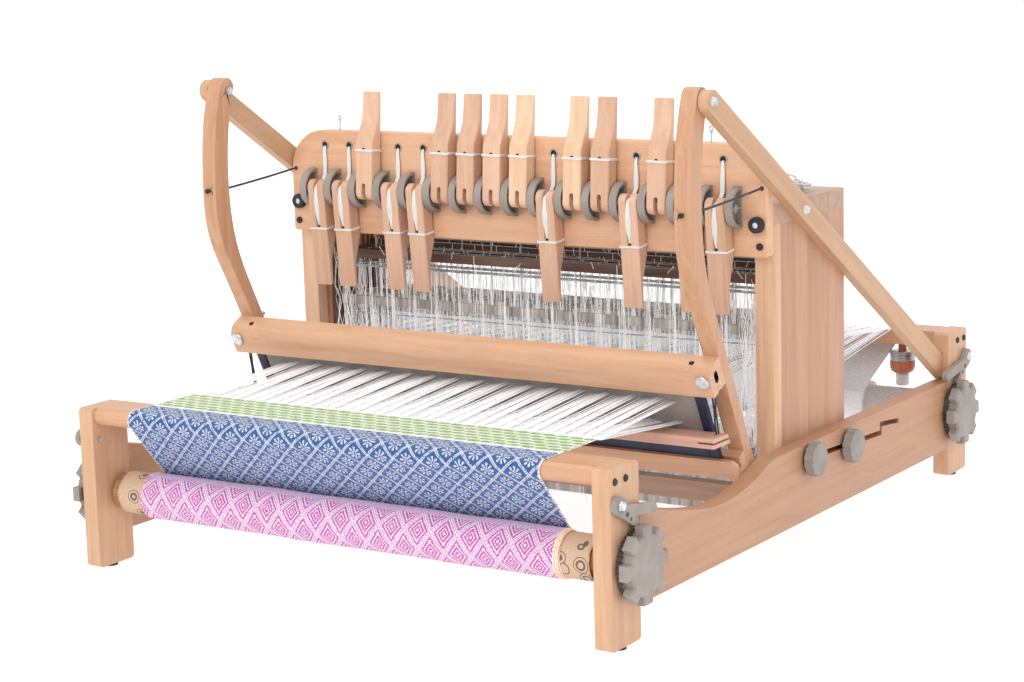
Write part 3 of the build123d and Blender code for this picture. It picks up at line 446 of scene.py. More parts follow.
def pink_cloth():
    """Magenta and white: tall nested diamonds between double white lines, and a plain strip."""
    cloth = Weave("pink_cloth", thread=0.0007)
    rising, falling = cloth.lattice(PATTERN_W, 0.046)
    nearest = abs(rising).math("MINIMUM", abs(falling))
    white = cloth.speckle(0.1)
    for low, high in ((-0.1, 0.03), (0.055, 0.105), (0.19, 0.245), (0.33, 0.37), (0.445, 0.6)):
        white = white | nearest.within(low, high)
    ground = cloth.mix(cloth.speckle(0.5), (186, 62, 158), (208, 100, 184))
    patterned = cloth.mix(white * cloth.speckle(0.06).flip(), ground, (238, 226, 238))
    plain = cloth.mix(cloth.speckle(0.45), (226, 160, 208), (222, 210, 230))
    return cloth.finish(cloth.mix(cloth.v.within(1.0 + 0.117, 1.0 + 0.150), patterned, plain))


def kraft_paper():
    """Brown wrapping paper with fibres and creases, printed with plain dark rings."""
    paper = Nodes("kraft_paper", 0.8)
    where = paper.place()
    tone = paper.noise(where, scale=26, detail=3)
    fibre = paper.noise(where, scale=700, detail=5)
    base = paper.ramp(fibre, (0.3, (190, 160, 132)), (0.65, (214, 186, 158)))
    base = paper.mix(tone * 0.3, base, (178, 144, 110))
    cells = paper.add("ShaderNodeTexVoronoi")
    paper.feed(where, cells.inputs["Vector"])
    cells.inputs["Scale"].default_value = 44
    away = Value(paper, cells.outputs["Distance"])
    ink = ((abs(away - 0.42) < 0.022) | (abs(away - 0.25) < 0.05)) * 0.8
    paper.colour(paper.mix(ink, base, (52, 52, 66)))
    return paper.bump(tone, 0.3, 0.0006)


MATERIALS = {
    "leg_wood": wood("leg_wood", (213, 170, 136), (196, 150, 116), "z", seed=1.0),
    "rail_wood": wood("rail_wood", (191, 146, 116), (178, 130, 101), "y", seed=2.0),
    "beam_wood": wood("cross_beam_wood", (212, 165, 131), (194, 144, 110), "x", seed=3.0),
    "brace_wood": wood("brace_wood", (204, 164, 130), (190, 146, 112), "y", turn=radians(32.4), seed=4.0),
    "castle_side": wood("castle_side_wood", (203, 158, 129), (187, 138, 109), "z", seed=5.0, plank=0.031),
    "castle_stile": wood("castle_stile_wood", (226, 186, 152), (210, 166, 132), "z", seed=6.0),
    "castle_top": wood("castle_top_wood", (190, 158, 134), (168, 134, 112), "x", seed=7.0),
    "board_wood": wood("lever_board_wood", (226, 180, 146), (210, 160, 126), "x", seed=8.0),
    "sword_wood": wood("sword_wood", (204, 157, 123), (187, 137, 104), "z", seed=9.0),
    "handrail_wood": wood("handrail_wood", (216, 173, 139), (200, 150, 116), "x", seed=10.0, roughness=0.32),
    "race_wood": wood("race_wood_salmon", (218, 172, 152), (200, 150, 130), "x", seed=11.0),
    "guide_wood": wood("guide_wood", (196, 150, 122), (170, 124, 98), "z", seed=12.0),
    "bar_wood": wood("heddle_bar_wood", (122, 92, 80), (84, 60, 52), "x", seed=13.0),
    "wound_bar": wood("string_wound_bar", (226, 221, 216), (138, 126, 118), "z", seed=13.5),
    "axle_wood": wood("beam_core_wood", (190, 138, 98), (150, 102, 70), "x", seed=14.0),
    "weight_wood": wood("weight_wood", (214, 134, 92), (176, 98, 64), "z", seed=15.0),
    "grey": plastic("moulded_taupe", (160, 150, 142), (142, 132, 124)),
    "wheel_grey": plastic("wheel_taupe", (160, 150, 144), (142, 133, 127)),
    "knob_grey": plastic("knob_grey", (156, 147, 142), (138, 130, 125)),
    "dark_plastic": plastic("ratchet_dark", (92, 86, 80), (58, 54, 50)),
    "clear_plastic": plastic("pulley_plastic", (214, 214, 208), (184, 184, 178), roughness=0.25),
    "black": plastic("black_rubber", (44, 42, 42), (22, 21, 22), roughness=0.6),
    "steel": metal("zinc_steel", (226, 230, 233), (176, 181, 186)),
    "dull_steel": metal("dent_steel", (196, 193, 190), (150, 147, 144), roughness=0.5),
    "navy": plastic("navy_binding", (40, 52, 84), (22, 30, 54)),
    "white_yarn": yarn("warp_yarn_white", (250, 250, 252), (226, 225, 230)),
    # the heddle yarn carries painted light: glow 0.16 makes it emit white so the heddles look bright where
    # they lie in shade
    "heddle_yarn_painted_glow": yarn("heddle_yarn_painted_glow", (252, 252, 252), (234, 234, 234), glow=0.16),
    "white_cord": braid("white_braid", (248, 248, 246), (206, 206, 204)),
    "black_cord": braid("black_elastic", (36, 36, 38), (10, 10, 11), pitch=0.003),
    # painted shade: near-black discs set in holes stand for the shadow inside them
    "painted_hole_shade": plastic("painted_bore_shade", (52, 36, 28), (30, 20, 15), roughness=0.9),
    "cloth": overshot_cloth(),
    "pink": pink_cloth(),
    "paper": kraft_paper(),
    "yellow_yarn": yarn("selvedge_yellow", (246, 216, 122), (236, 180, 96)),
    "red_yarn": yarn("selvedge_red", (226, 132, 110), (204, 92, 78)),
    "reed_grey": plastic("reed_grey", (196, 188, 182), (170, 162, 156)),
    "card": yarn("warp_card_grey", (206, 200, 196), (178, 170, 166), sheen=0.0),
}
for index, tone in enumerate((0, 6, -6, 3, -3)):
    light, dark = (220 + tone, 180 + tone, 152 + tone), (206 + tone, 162 + tone, 134 + tone)
    MATERIALS[f"lever_{index}"] = wood(f"lever_wood_{index}", light, dark, "z", seed=20.0 + index)
MATERIALS["lever_pale"] = wood("lever_wood_pale", (234, 198, 166), (218, 178, 144), "z", seed=30.0)


# ------------------------------------------------------------------ places read from the frame
SHAFT_BOX = {number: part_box(f"shaft_{number:02d}") for number in NUMBERS}
LEVER_BOX = {number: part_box(f"lever_{number:02d}") for number in NUMBERS}
SHAFT_Y = {number: (low.y + high.y) / 2 for number, (low, high) in SHAFT_BOX.items()}
SHAFT_Z = {number: low.z for number, (low, high) in SHAFT_BOX.items()}
LEVER_X = {number: (low.x + high.x) / 2 for number, (low, high) in LEVER_BOX.items()}
BOARD_LOW, BOARD_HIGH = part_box("lever_board")
BEAM_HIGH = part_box("breast_and_back_beam")[1]
WEB_LOW, WEB_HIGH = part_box("woven_cloth")
ROLL_LOW, ROLL_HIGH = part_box("cloth_roll")
REED_LOW, REED_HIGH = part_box("reed")
TOP_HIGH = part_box("castle_frame")[1]

BAR_TOP = SHAFT_BOX[1][1].z - SHAFT_Z[1] + 0.4 * MM  # upper side of a frame's upper bar
EYE_UP = 129 * MM  # heddle eye above the bottom of its frame
ROD_LOW, ROD_HIGH = 24 * MM, 222 * MM  # thin rods that carry the heddles, above the same
FELL_Y = WEB_HIGH.y
NOSE_Y, NOSE_Z, NOSE_R = 489 * MM, 200 * MM, 11 * MM  # rounded edge of the breast and back beams
AXLE_Y, AXLE_Z = 456 * MM, 96 * MM  # axles of the two rolls
ROLL_R, WARP_ROLL_R = 29.5 * MM, 33 * MM  # outer radii of the wound cloth and the wound warp
WARP_HALF, WARP_ROLL_HALF = 303.5 * MM, 261 * MM  # half widths of the warp in the reed and on its roll
THREAD_R, STRING_R = 0.64 * MM, 0.45 * MM
THREAD_PITCH = PATTERN_W / 42
PIVOT_Y, PIVOT_Z = -93.5 * MM, 448 * MM  # rod that the levers turn on
CORD_HOLE_Z = 506 * MM
TILT = radians(26)  # of the swords at rest
SWORD_START = Vector((0, -205, 288)) * MM
OUT_OF_SWORD = Vector((0, -cos(TILT), -sin(TILT)))
DOWN_SWORD = Vector((0, sin(TILT), -cos(TILT)))
SWORD_TURN = Matrix(((1, 0, 0), (0, OUT_OF_SWORD.y, DOWN_SWORD.y), (0, OUT_OF_SWORD.z, DOWN_SWORD.z)))


def on_sword(x, out, down):
    """Point given across the loom, out of the swords' front face and down the swords."""
    return SWORD_START + Vector((x, 0, 0)) + OUT_OF_SWORD * out + DOWN_SWORD * down


def cross_tangent(first, first_r, second, second_r, side):
    """End points of the line that leaves one circle's outer side and meets the other's far side."""
    run, rise = second[0] - first[0], second[1] - first[1]
    angle = atan2(rise, run) + side * asin((first_r + second_r) / hypot(run, rise))
    out = (side * sin(angle), -side * cos(angle))
    return ((first[0] + out[0] * first_r, first[1] + out[1] * first_r),
            (second[0] - out[0] * second_r, second[1] - out[1] * second_r))


def over_nose(sign, radius, roll_radius, start_y, straight, bend, fall):
    """Points (y, z) from start_y over a beam's nose down to its roll, front beam with sign -1."""
    nose = (sign * NOSE_Y, NOSE_Z)
    off, on = cross_tangent(nose, radius, (sign * AXLE_Y, AXLE_Z), roll_radius, -sign)
    points = [(start_y + (nose[0] - start_y) * k / straight, NOSE_Z + radius) for k in range(straight)]
    last = atan2(off[1] - nose[1], sign * (off[0] - nose[0]))
    for k in range(bend):
        angle = pi / 2 + (last - pi / 2) * k / bend
        points.append((nose[0] + sign * radius * cos(angle), nose[1] + radius * sin(angle)))
    for k in range(fall + 1):
        points.append((off[0] + (on[0] - off[0]) * k / fall, off[1] + (on[1] - off[1]) * k / fall))
    return points


def dress(node, *materials, choose=None, bevel=0.0):
    """Gives a CAD node its materials, chosen for each face by its centre, and eases its edges."""
    piece = frame["nodes"][node]
    mesh = piece.data
    mesh.materials.clear()
    for material in materials:
        mesh.materials.append(MATERIALS[material])
    chosen = [choose(polygon.center) if choose else 0 for polygon in mesh.polygons]
    mesh.polygons.foreach_set("material_index", chosen)
    mesh.polygons.foreach_set("use_smooth", [True] * len(mesh.polygons))
    if bevel:
        weld = piece.modifiers.new("weld", "WELD")
        weld.merge_threshold = 0.00002
        ease = piece.modifiers.new("ease", "BEVEL")
        ease.width = bevel
        ease.segments = 2
        ease.limit_method = "ANGLE"
        ease.angle_limit = radians(38)
        ease.use_clamp_overlap = True
        even = piece.modifiers.new("even", "WEIGHTED_NORMAL")
        even.keep_sharp = False
        even.weight = 80
    else:
        mesh.set_sharp_from_angle(angle=radians(32))
    return piece


# ------------------------------------------------------------------ CAD nodes that stay
AXLE_END = 0.3621  # half width of the two beams' cores, where the steel axles come out
BAR_H, UPPER_BAR = 0.0125, 0.2335  # top of a frame's lower bar and foot of its upper one


def castle_face(centre):
    """Sides 0, front stiles 1, top board and low cross rails 2, guides 3."""
    top_board, stile_back, stile_in = 0.4249, -0.0405, 0.3415
    rail_top, rail_end, guide_out = 0.0901, 0.342, 0.3469
    aside = abs(centre.x)
    if centre.z > top_board:
        return 2
    if centre.y < stile_back and aside > stile_in:
        return 1
    if centre.z < rail_top and aside < rail_end:
        return 2
    return 3 if aside < guide_out else 0


def fastener_face(centre):
    """Black for the screws of the two beams, those 400 mm up and the rails' washers; the rest is steel."""
    dark = (abs(centre.z - 0.1965) < 0.006 and abs(centre.y) > 0.46) or abs(centre.z - 0.400) < 0.006
    washer = 0.3899 < abs(centre.x) < 0.3931 and centre.z < 0.14 and abs(centre.y) < 0.2
    return 1 if dark or washer else 0


def warp_beam_face(centre):
    """Wood core, card under the warp, the wound warp itself, and steel axle ends."""
    radius = hypot(centre.y - AXLE_Y, centre.z - AXLE_Z)
    if abs(centre.x) < 0.2622:
        return 2
    if abs(centre.x) < 0.3402:
        return 1
    return 3 if radius < 0.0098 and abs(centre.x) > AXLE_END else 0


def shaft_face(number):
    """Steel rods between the bars, and strings round the lower bars and the hanging frames' upper ones."""
    low = SHAFT_Z[number]

    def choose(centre):
        up = centre.z - low
        if abs(centre.x) < 0.33199 and BAR_H < up < UPPER_BAR:
            return 1
        return 2 if up <= BAR_H or number not in RAISED and up >= UPPER_BAR else 0
    return choose


def dress_frame():
    """Legs, rails, beams, braces, castle, board and small fittings."""
    dress("legs", "leg_wood", bevel=0.0012)
    dress("side_rails", "rail_wood", bevel=0.0015)
    dress("breast_and_back_beam", "beam_wood", bevel=0.001)
    dress("braces", "brace_wood")
    dress("castle_frame", "castle_side", "castle_stile", "castle_top", "guide_wood", choose=castle_face,
          bevel=0.0006)
    dress("lever_board", "board_wood", bevel=0.0006)
    dress("lever_brackets", "grey", bevel=0.0005)
    dress("fasteners", "steel", "black", choose=fastener_face)
    dress("rubber_pads", "black", bevel=0.0005)
    dress("beater_swords", "sword_wood", bevel=0.0025)
    dress("beater_rails", "handrail_wood")
    dress("beater_bolts", "steel")
    dress("shuttle_race", "race_wood", bevel=0.0008)
    dress("cloth_beam", "axle_wood", "steel", choose=lambda centre: 1 if abs(centre.x) > AXLE_END else 0)
    dress("warp_beam", "axle_wood", "card", "white_yarn", "steel", choose=warp_beam_face)
    for node in ("cloth_beam_wheels", "warp_beam_wheels"):
        dress(node, "wheel_grey", "dark_plastic", bevel=0.0007,
              choose=lambda centre: 1 if abs(centre.x) < 0.3984 else 0)
    for node in ("front_pawls", "back_pawls"):
        dress(node, "grey", bevel=0.0014)
    for node in ("front_knobs", "rear_knobs"):
        dress(node, "knob_grey", bevel=0.0006)
    for number in NUMBERS:
        tone = "lever_pale" if number in (9, 11) else f"lever_{number * 7 % 5}"
        dress(f"lever_{number:02d}", tone, bevel=0.0022)
        dress(f"shaft_{number:02d}", "bar_wood", "steel", "wound_bar", bevel=0.0004,
              choose=shaft_face(number))


# ------------------------------------------------------------------ cloth
def sheet_of(name, path, left, right, columns, thick, material, body, slot, replaces, ragged):
    """Thin closed cloth along the path of (y, z) points, with its own width and length as its UV."""
    shape, uvs, lengths = Shape(), [], [0.0]
    rows, width = len(path), columns + 1
    for a, b in zip(path, path[1:]):
        lengths.append(lengths[-1] + hypot(b[0] - a[0], b[1] - a[1]))
    edge = [(random.uniform(-ragged, ragged), random.uniform(-ragged, ragged)) for _ in path]
    for layer in (1, -1):
        for row, (y, z) in enumerate(path):
            before, after = path[max(row - 1, 0)], path[min(row + 1, rows - 1)]
            run, rise = after[0] - before[0], after[1] - before[1]
            side = copysign(1 / hypot(run, rise), -run)
            for column in range(width):
                x = left + edge[row][0] + (right - left + edge[row][1] - edge[row][0]) * column / columns
                wave = 0.00012 * sin(x * 190 + row * 0.8) + 0.0001 * sin(x * 67 - row * 0.5)
                height = layer * thick / 2 + wave
                shape.verts.append(Vector((x, y + rise * side * height, z - run * side * height)))
                uvs.append((x, lengths[row]))
    half = rows * width
    for row in range(rows - 1):
        a = row * width
        shape.bridge(a, a + width, width, closed=False, flip=True)
        shape.bridge(half + a, half + a + width, width, closed=False)
        for first, flip in ((a, False), (a + columns, True)):
            corners = (first, half + first, half + first + width, first + width)
            shape.face(corners[::-1] if flip else corners, 0)
    for first, flip in ((0, False), (half - width, True)):
        shape.bridge(first, half + first, width, closed=False, flip=flip)
    return shape.build(name, material, body, slot, replaces, uvs=uvs), lengths[-1]


def make_web():
    """Woven cloth from the fell over the breast beam and down to its roll, with its edge threads."""
    left, right = WEB_LOW.x + 0.001, WEB_HIGH.x - 0.001
    path = over_nose(-1, NOSE_R + 0.0009, ROLL_R + 0.0012, FELL_Y, 40, 18, 30)
    web, length = sheet_of("web", path, left, right, 200, 0.0009, "cloth", "frame", "woven_cloth",
                           ["woven_cloth"], 0.0007)
    loops = Shape()
    for y, z in path[1:-1]:
        for x, side in ((WEB_LOW.x + 0.0012, -1), (WEB_HIGH.x - 0.0012, 1)):
            reach = random.uniform(0.0004, 0.0016)
            loops.tube([(x - side * 0.001, y, z), (x + side * reach, y - 0.0006, z),
                        (x - side * 0.001, y - 0.0016, z)], 0.0005, sides=4)
    loops.build("web_edge_loops", "white_yarn", "frame", "woven_cloth")


def make_cloth_roll():
    """Wound cloth with the edges of its turns showing, on kraft paper that sticks out at both ends."""
    shape, uvs = Shape(), []
    centre = Vector((0, -AXLE_Y, AXLE_Z))
    columns, count = 60, 121  # stations across the cloth, and points round each with the seam's twice
    cloth_left, cloth_right = WEB_LOW.x, WEB_HIGH.x + 0.004
    angles = [tau * step / (count - 1) for step in range(count)]

    def on_roll(x, radius, angle):
        return centre + Vector((x, -radius * cos(angle), radius * sin(angle)))

    for column in range(columns + 1):
        x = cloth_left + (cloth_right - cloth_left) * column / columns
        for angle in angles:
            radius = ROLL_R - 0.0004 + 0.0003 * sin(3 * angle + x * 30) + 0.00025 * sin(x * 55 + angle)
            shape.verts.append(on_roll(x, radius, angle))
            uvs.append((x, (tau - angle) * ROLL_R))
    for column in range(columns):
        shape.bridge(column * count, (column + 1) * count, count, closed=False)
    for x, previous, outward in ((cloth_left, 0, -1), (cloth_right, columns * count, 1)):
        for turn in range(5):
            depth = outward * (0.0009 if turn % 2 else -0.0003)
            current = len(shape.verts)
            for angle in angles:
                wobble = random.uniform(-0.0002, 0.0002)
                shape.verts.append(on_roll(x + depth + wobble, ROLL_R - 0.0012 - 0.0011 * turn, angle))
                uvs.append((x, (tau - angle) * ROLL_R))
            shape.bridge(previous, current, count, closed=False, flip=outward < 0)
            previous = current
    shape.build("cloth_on_roll", "pink", "cloth_beam", "woven_cloth", ["cloth_roll"], uvs=uvs)

    edge = Shape()
    for k, mark in enumerate((0, 1, 0, 1, 1, 0, 2, 0, 2)):
        normal = (1, random.uniform(-0.02, 0.02), random.uniform(-0.02, 0.02))
        middle = centre + Vector((cloth_right + 0.0003 + 0.0009 * k, 0, 0))
        edge.ring(middle, normal, ROLL_R - 0.0005 - 0.0003 * k, 0.0007, steps=72, sides=5, mark=mark)
    edge.build("selvedge_threads", "white_yarn yellow_yarn red_yarn", "cloth_beam", "woven_cloth")

    paper = Shape()
    rows, sides, tucked = 14, 64, 0.004
    for near, far, outward in ((cloth_left, ROLL_LOW.x, -1), (cloth_right, ROLL_HIGH.x, 1)):
        for turn, (short, radius) in enumerate(((0, 0.0266), (0.006, 0.0257), (0.002, 0.0248))):
            first = len(paper.verts)
            for row in range(rows + 1):
                x = near + outward * ((abs(far - near) - short + tucked) * row / rows - tucked)
                for angle in [tau * step / sides for step in range(sides)]:
                    crease = 0.00035 * sin(angle * 5 + row * 0.9 + turn) + random.uniform(-0.00012, 0.00012)
                    end = random.uniform(-0.0012, 0) if row == rows else 0.0
                    creased = radius - 0.0003 + crease * row / rows
                    paper.verts.append(on_roll(x + outward * end, creased, angle))
            for row in range(rows):
                paper.bridge(first + row * sides, first + (row + 1) * sides, sides, flip=outward < 0)
    piece = paper.build("paper_under_cloth", "paper", "cloth_beam", "woven_cloth")
    piece.modifiers.new("thickness", "SOLIDIFY").thickness = 0.0003


# ------------------------------------------------------------------ warp, heddles and reed
def thread_places():
    """For each thread: its shaft, and where it lies across the loom at the fell, the reed and the eye.
    The threading runs up and down through the shafts, once in each repeat of the pattern."""
    places = []
    for k in range(int(2 * WARP_HALF / THREAD_PITCH)):
        x = -WARP_HALF + (k + 0.5) * THREAD_PITCH
        climb = abs(2 * (x / PATTERN_W % 1.0) - 1)
        in_reed = x + random.uniform(-0.0003, 0.0003)
        at_eye = x + random.uniform(-0.0013, 0.0013)
        places.append((1 + round((len(NUMBERS) - 1) * climb), x, in_reed, at_eye))
    return places


def straight_line(start, end, y):
    """Point on the line from start to end where it passes y."""
    share = (y - start[1]) / (end[1] - start[1])
    return tuple(a + (b - a) * share for a, b in zip(start, end))


def make_warp(places):
    """Warp threads: from the cloth through the reed to each heddle eye, and from there to the back beam."""
    beam_edge = BEAM_HIGH.y - 57 * MM
    over = over_nose(1, NOSE_R + 0.0005, WARP_ROLL_R + 0.0004, beam_edge, 3, 6, 3)
    fell_z = NOSE_Z + NOSE_R + 0.0004
    reed_y = (REED_LOW.y + REED_HIGH.y) / 2
    fans = {number: (Shape(), Shape()) for number in NUMBERS}
    back = Shape()
    for shaft, at_fell, in_reed, at_eye in places:
        eye = (at_eye, SHAFT_Y[shaft], SHAFT_Z[shaft] + EYE_UP)
        front, rear = fans[shaft]
        fell = (at_fell, FELL_Y, fell_z + random.uniform(-0.0002, 0.0002))
        points = [fell]
        for y in (-0.31, -0.25, reed_y, -0.13, -0.085):
            x, _, z = straight_line(fell, eye, y)
            pull = max(0.0, 1 - abs(y - reed_y) / 0.12)
            points.append((x + (in_reed - x) * pull, y, z))
        points.append(eye)
        radius = THREAD_R * random.uniform(0.8, 1.15)
        front.tube(points, radius, sides=3, caps=False)
        on_beam = (at_fell, over[0][0], over[0][1])
        run = on_beam[1] - eye[1]
        steps = [straight_line(eye, on_beam, eye[1] + run * share) for share in (0.3, 0.65)]
        drop = random.uniform(0, 0.0015) * (0 if shaft in RAISED else 1)
        loose = [(x + random.uniform(-0.0012, 0.0012), y, z - drop) for x, y, z in steps]
        rear.tube([eye, *loose, on_beam], radius, sides=3, caps=False)
        rolled = at_fell * WARP_ROLL_HALF / WARP_HALF
        trail = []
        for index, (y, z) in enumerate(over):
            share = max(0.0, index - 8) / (len(over) - 9)
            trail.append((at_fell + (rolled - at_fell) * share, y, z + random.uniform(-0.0001, 0.0001)))
        back.tube(trail, radius, sides=3, caps=False)
    for shaft, (front, rear) in fans.items():
        for label, shape, anchor in (("front", front, (0, FELL_Y, 0)), ("rear", rear, (0, over[0][0], 0))):
            piece = shape.build(f"warp_{label}_{shaft:02d}", "white_yarn", None, "warp_yarn", ["warp_sheet"])
            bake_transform(piece)
            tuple(anchor)
    back.build("warp_over_back_beam", "white_yarn", "frame", "warp_yarn")


def make_warp_winding():
    """Turns of thread on the warp roll."""
    shape = Shape()
    turns = 230
    for k in range(turns):
        x = -WARP_ROLL_HALF + 2 * WARP_ROLL_HALF * (k + 0.5) / turns
        centre = (x + random.uniform(-0.0004, 0.0004), AXLE_Y, AXLE_Z)
        normal = (1, random.uniform(-0.01, 0.01), 0)
        shape.ring(centre, normal, WARP_ROLL_R - random.uniform(0.0003, 0.0009), 0.00085, steps=40, sides=4)
    shape.build("warp_winding", "white_yarn", "warp_beam", "warp_yarn")


def make_heddles(places):
    """String heddles on the two rods of each frame, spare ones pushed to its ends, and their loose ends."""
    by_shaft = {number: [] for number in NUMBERS}
    for shaft, _, _, at_eye in places:
        by_shaft[shaft].append(at_eye)
    for shaft, eyes in by_shaft.items():
        shape = Shape()
        y, base = SHAFT_Y[shaft], SHAFT_Z[shaft]
        spare = [side * random.uniform(0.307, 0.329) for side in (-1, 1) for _ in range(5)]
        low, high, eye = base + ROD_LOW, base + ROD_HIGH, base + EYE_UP
        for index, x in enumerate(eyes + spare):
            slack = 0.0014 if index < len(eyes) else 0.005
            for strand in (-1, 1):
                points = []
                for z, room in ((low - 0.002, 0.0009), (low + 0.03, 0.0006), ((low + eye) / 2, 0.0004),
                                (eye - 0.006, 0.0003), (eye, 0.0014), (eye + 0.006, 0.0003),
                                ((high + eye) / 2, 0.0004), (high - 0.03, 0.0006), (high + 0.002, 0.0009)):
                    near_rod = min(z - low, high - z)
                    loose = slack * min(1.0, max(0.0, near_rod) / 0.03)
                    threaded = abs(z - eye) < 0.007 and index < len(eyes)
                    sway = 0.0 if threaded else random.uniform(-loose, loose)
                    points.append((x + sway + strand * room, y + strand * 0.0006 + sway * 0.3, z))
                shape.tube(points, STRING_R, sides=3, caps=False)
            if index % 3 == 0:
                loose_end(shape, (x, y, eye + random.uniform(-0.008, 0.008)), 0.011)
            if index % 2 == 1:
                wrap_bar(shape, x, y, base)
                loose_end(shape, (x, y - 0.0034, base + 0.0015), 0.016, down=True)
            if index % 3 == 2 or shaft not in RAISED:
                wrap_bar(shape, x, y, base, upper=True)
            if index % 3 == 1:
                loose_end(shape, (x, y - 0.0038, high + 0.018), 0.012)
        # these strings use the heddle yarn, whose glow is painted light
        shape.build(f"heddles_{shaft:02d}", "heddle_yarn_painted_glow", f"shaft_{shaft:02d}", "warp_yarn")


def loose_end(shape, start, reach, down=False):
    """A short free end of string that curls out of its knot, or hangs from it."""
    x, y, z = start
    lean = random.uniform(-1, 1)
    fall = -1 if down else random.choice((-1, 1))
    points = [(x, y, z)]
    for share in (0.35, 0.7, 1.0):
        points.append((x + lean * reach * share * random.uniform(0.5, 1), y - 0.0012 * share,
                       z + fall * reach * share * random.uniform(0.6, 1)))
    shape.tube(points, 0.00042, sides=3, caps=False)


def wrap_bar(shape, x, y, base, upper=False):
    """One turn of string round a frame's lower or upper bar, from the rod beside it."""
    side = 0.0036
    rod, inner, outer = (ROD_HIGH, UPPER_BAR, BAR_TOP) if upper else (ROD_LOW, BAR_H, -0.0005)
    turn = ((0, rod), (-side, inner), (-side, outer), (side, outer), (side, inner), (0, rod))
    shape.tube([(x, y + out, base + up) for out, up in turn], STRING_R, sides=3, caps=False)


def make_reed():
    """Reed: two end strips, two bound channels and the wires between them."""
    frame_shape, wires, coil = Shape(), Shape(), Shape()
    half, middle_u = REED_HIGH.x, 17 * MM
    top, bottom = 40 * MM, 158 * MM
    seat_top, seat_low = 48 * MM, 128 * MM
    for side in (-1, 1):
        frame_shape.block(on_sword(side * (half - 0.0065), middle_u, (top + bottom) / 2),
                          (0.013, 0.0074, bottom - top), SWORD_TURN)
    for near, far in ((top, seat_top), (seat_low, bottom)):
        frame_shape.block(on_sword(0, middle_u, (near + far) / 2), (2 * half - 0.026, 0.0074, far - near),
                          SWORD_TURN)
    channels = frame_shape.build("reed_channels", "navy", "beater", "moulded_grey", ["reed"], smooth=False)
    ease = channels.modifiers.new("ease", "BEVEL")
    ease.width, ease.segments = 0.0012, 3
    count = 330
    for k in range(count):
        x = -half + 0.0145 + (2 * half - 0.029) * k / (count - 1)
        wires.block(on_sword(x, middle_u, (seat_top + seat_low) / 2), (0.0008, 0.0034, seat_low - seat_top),
                    SWORD_TURN)
    wires.build("reed_wires", "reed_grey", "beater", "reed_steel", smooth=False)
    turns = 300
    for level in (seat_top + 0.001, seat_low - 0.002):
        points = []
        for k in range(turns * 4):
            angle = tau * k / 4
            x = -half + 0.0135 + (2 * half - 0.027) * k / (turns * 4 - 1)
            points.append(on_sword(x, middle_u + 0.0042 * cos(angle), level + 0.004 * sin(angle)))
        coil.tube(points, 0.0006, sides=4)
    coil.build("reed_binding", "black_cord", "beater", "black_cord")


# ------------------------------------------------------------------ cords
def make_elastics():
    """Elastic cords from the swords to the lever board, and short ones that carry the shuttle race."""
    for side, name in ((-1, "left"), (1, "right")):
        long_cord = Shape()
        far, near = side * 0.355, side * 0.360
        path = [(far, -0.2725, 0.4615), (far, -0.25, 0.4615), (far, -0.232, 0.4612),
                (side * 0.3565, -0.19, 0.4637), (side * 0.358, -0.14, 0.4672),
                (side * 0.3595, -0.095, 0.4709), (near, -0.084, 0.472), (near, -0.0555, 0.472)]
        long_cord.tube(path, 0.0015, sides=10)
        for x, y, z, out in ((far, -0.2738, 0.4615, -1), (near, -0.0548, 0.472, 1)):
            long_cord.ring((x, y, z), (0.35, out, 0.3), 0.0017, 0.0016, steps=18, sides=8)
            long_cord.tube([(x, y, z), (x + 0.001, y + out * 0.003, z - 0.002)], 0.0011, sides=7)
        piece = long_cord.build(f"elastic_cord_{name}", "black_cord", None, "black_cord", ["elastic_cords"])
        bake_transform(piece)
        short_cord = Shape()
        top = on_sword(side * 0.356, 0.016, 0.0425)
        low = Vector((side * 0.356, -0.191, 0.1876))
        for offset in (-0.0016, 0.0016):
            shift = Vector((offset, 0, 0))
            middle = (top + low) / 2 + Vector((0, -0.0004, 0))
            short_cord.tube([top + shift, top.lerp(middle, 0.5) + shift, middle + shift * 0.6,
                             middle.lerp(low, 0.5) + shift, low + shift], 0.00115, sides=8)
        short_cord.tube([low + Vector((0, -0.002, -0.001)), low + Vector((-side * 0.004, -0.016, -0.003)),
                         low + Vector((-side * 0.006, -0.0195, -0.006))], 0.0014, sides=8)
        short_cord.ring(low + Vector((-side * 0.006, -0.0195, -0.0045)), (0.2, 1, 0.1), 0.0017, 0.0017)
        piece = short_cord.build(f"race_cord_{name}", "black_cord", None, "black_cord", ["elastic_cords"])
        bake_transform(piece)


def make_lift_cords():
    """Cords from the lever board over the castle and down to the top of each frame where it stands."""
    radius, bend, above_castle = 1.2 * MM, 3 * MM, 14 * MM
    front = BOARD_HIGH.y + 6 * MM
    top = TOP_HIGH.z + above_castle
    for number, x in LEVER_X.items():
        y = SHAFT_Y[number]
        end = SHAFT_BOX[number][1].z + 0.6 * MM
        corners = [Vector(point) for point in ((x, BOARD_LOW.y + MM, CORD_HOLE_Z), (x, front, CORD_HOLE_Z),
                                               (x, y, top), (x, y, end))]
        path = [corners[0]]
        for before, corner, after in zip(corners, corners[1:], corners[2:]):
            enter = corner + (before - corner).normalized() * bend
            leave = corner + (after - corner).normalized() * bend
            for share in (0, 0.25, 0.5, 0.75, 1):
                path.append(enter.lerp(corner, share).lerp(corner.lerp(leave, share), share))
        path += [path[-1].lerp(corners[-1], share) for share in (0.2, 0.4, 0.6, 0.8, 1)]
        cord = Shape()
        cord.tube(path, radius, sides=8)
        piece = cord.build(f"lift_cord_{number:02d}", "white_cord", None, "white_cord", ["lift_cords"])
        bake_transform(piece)


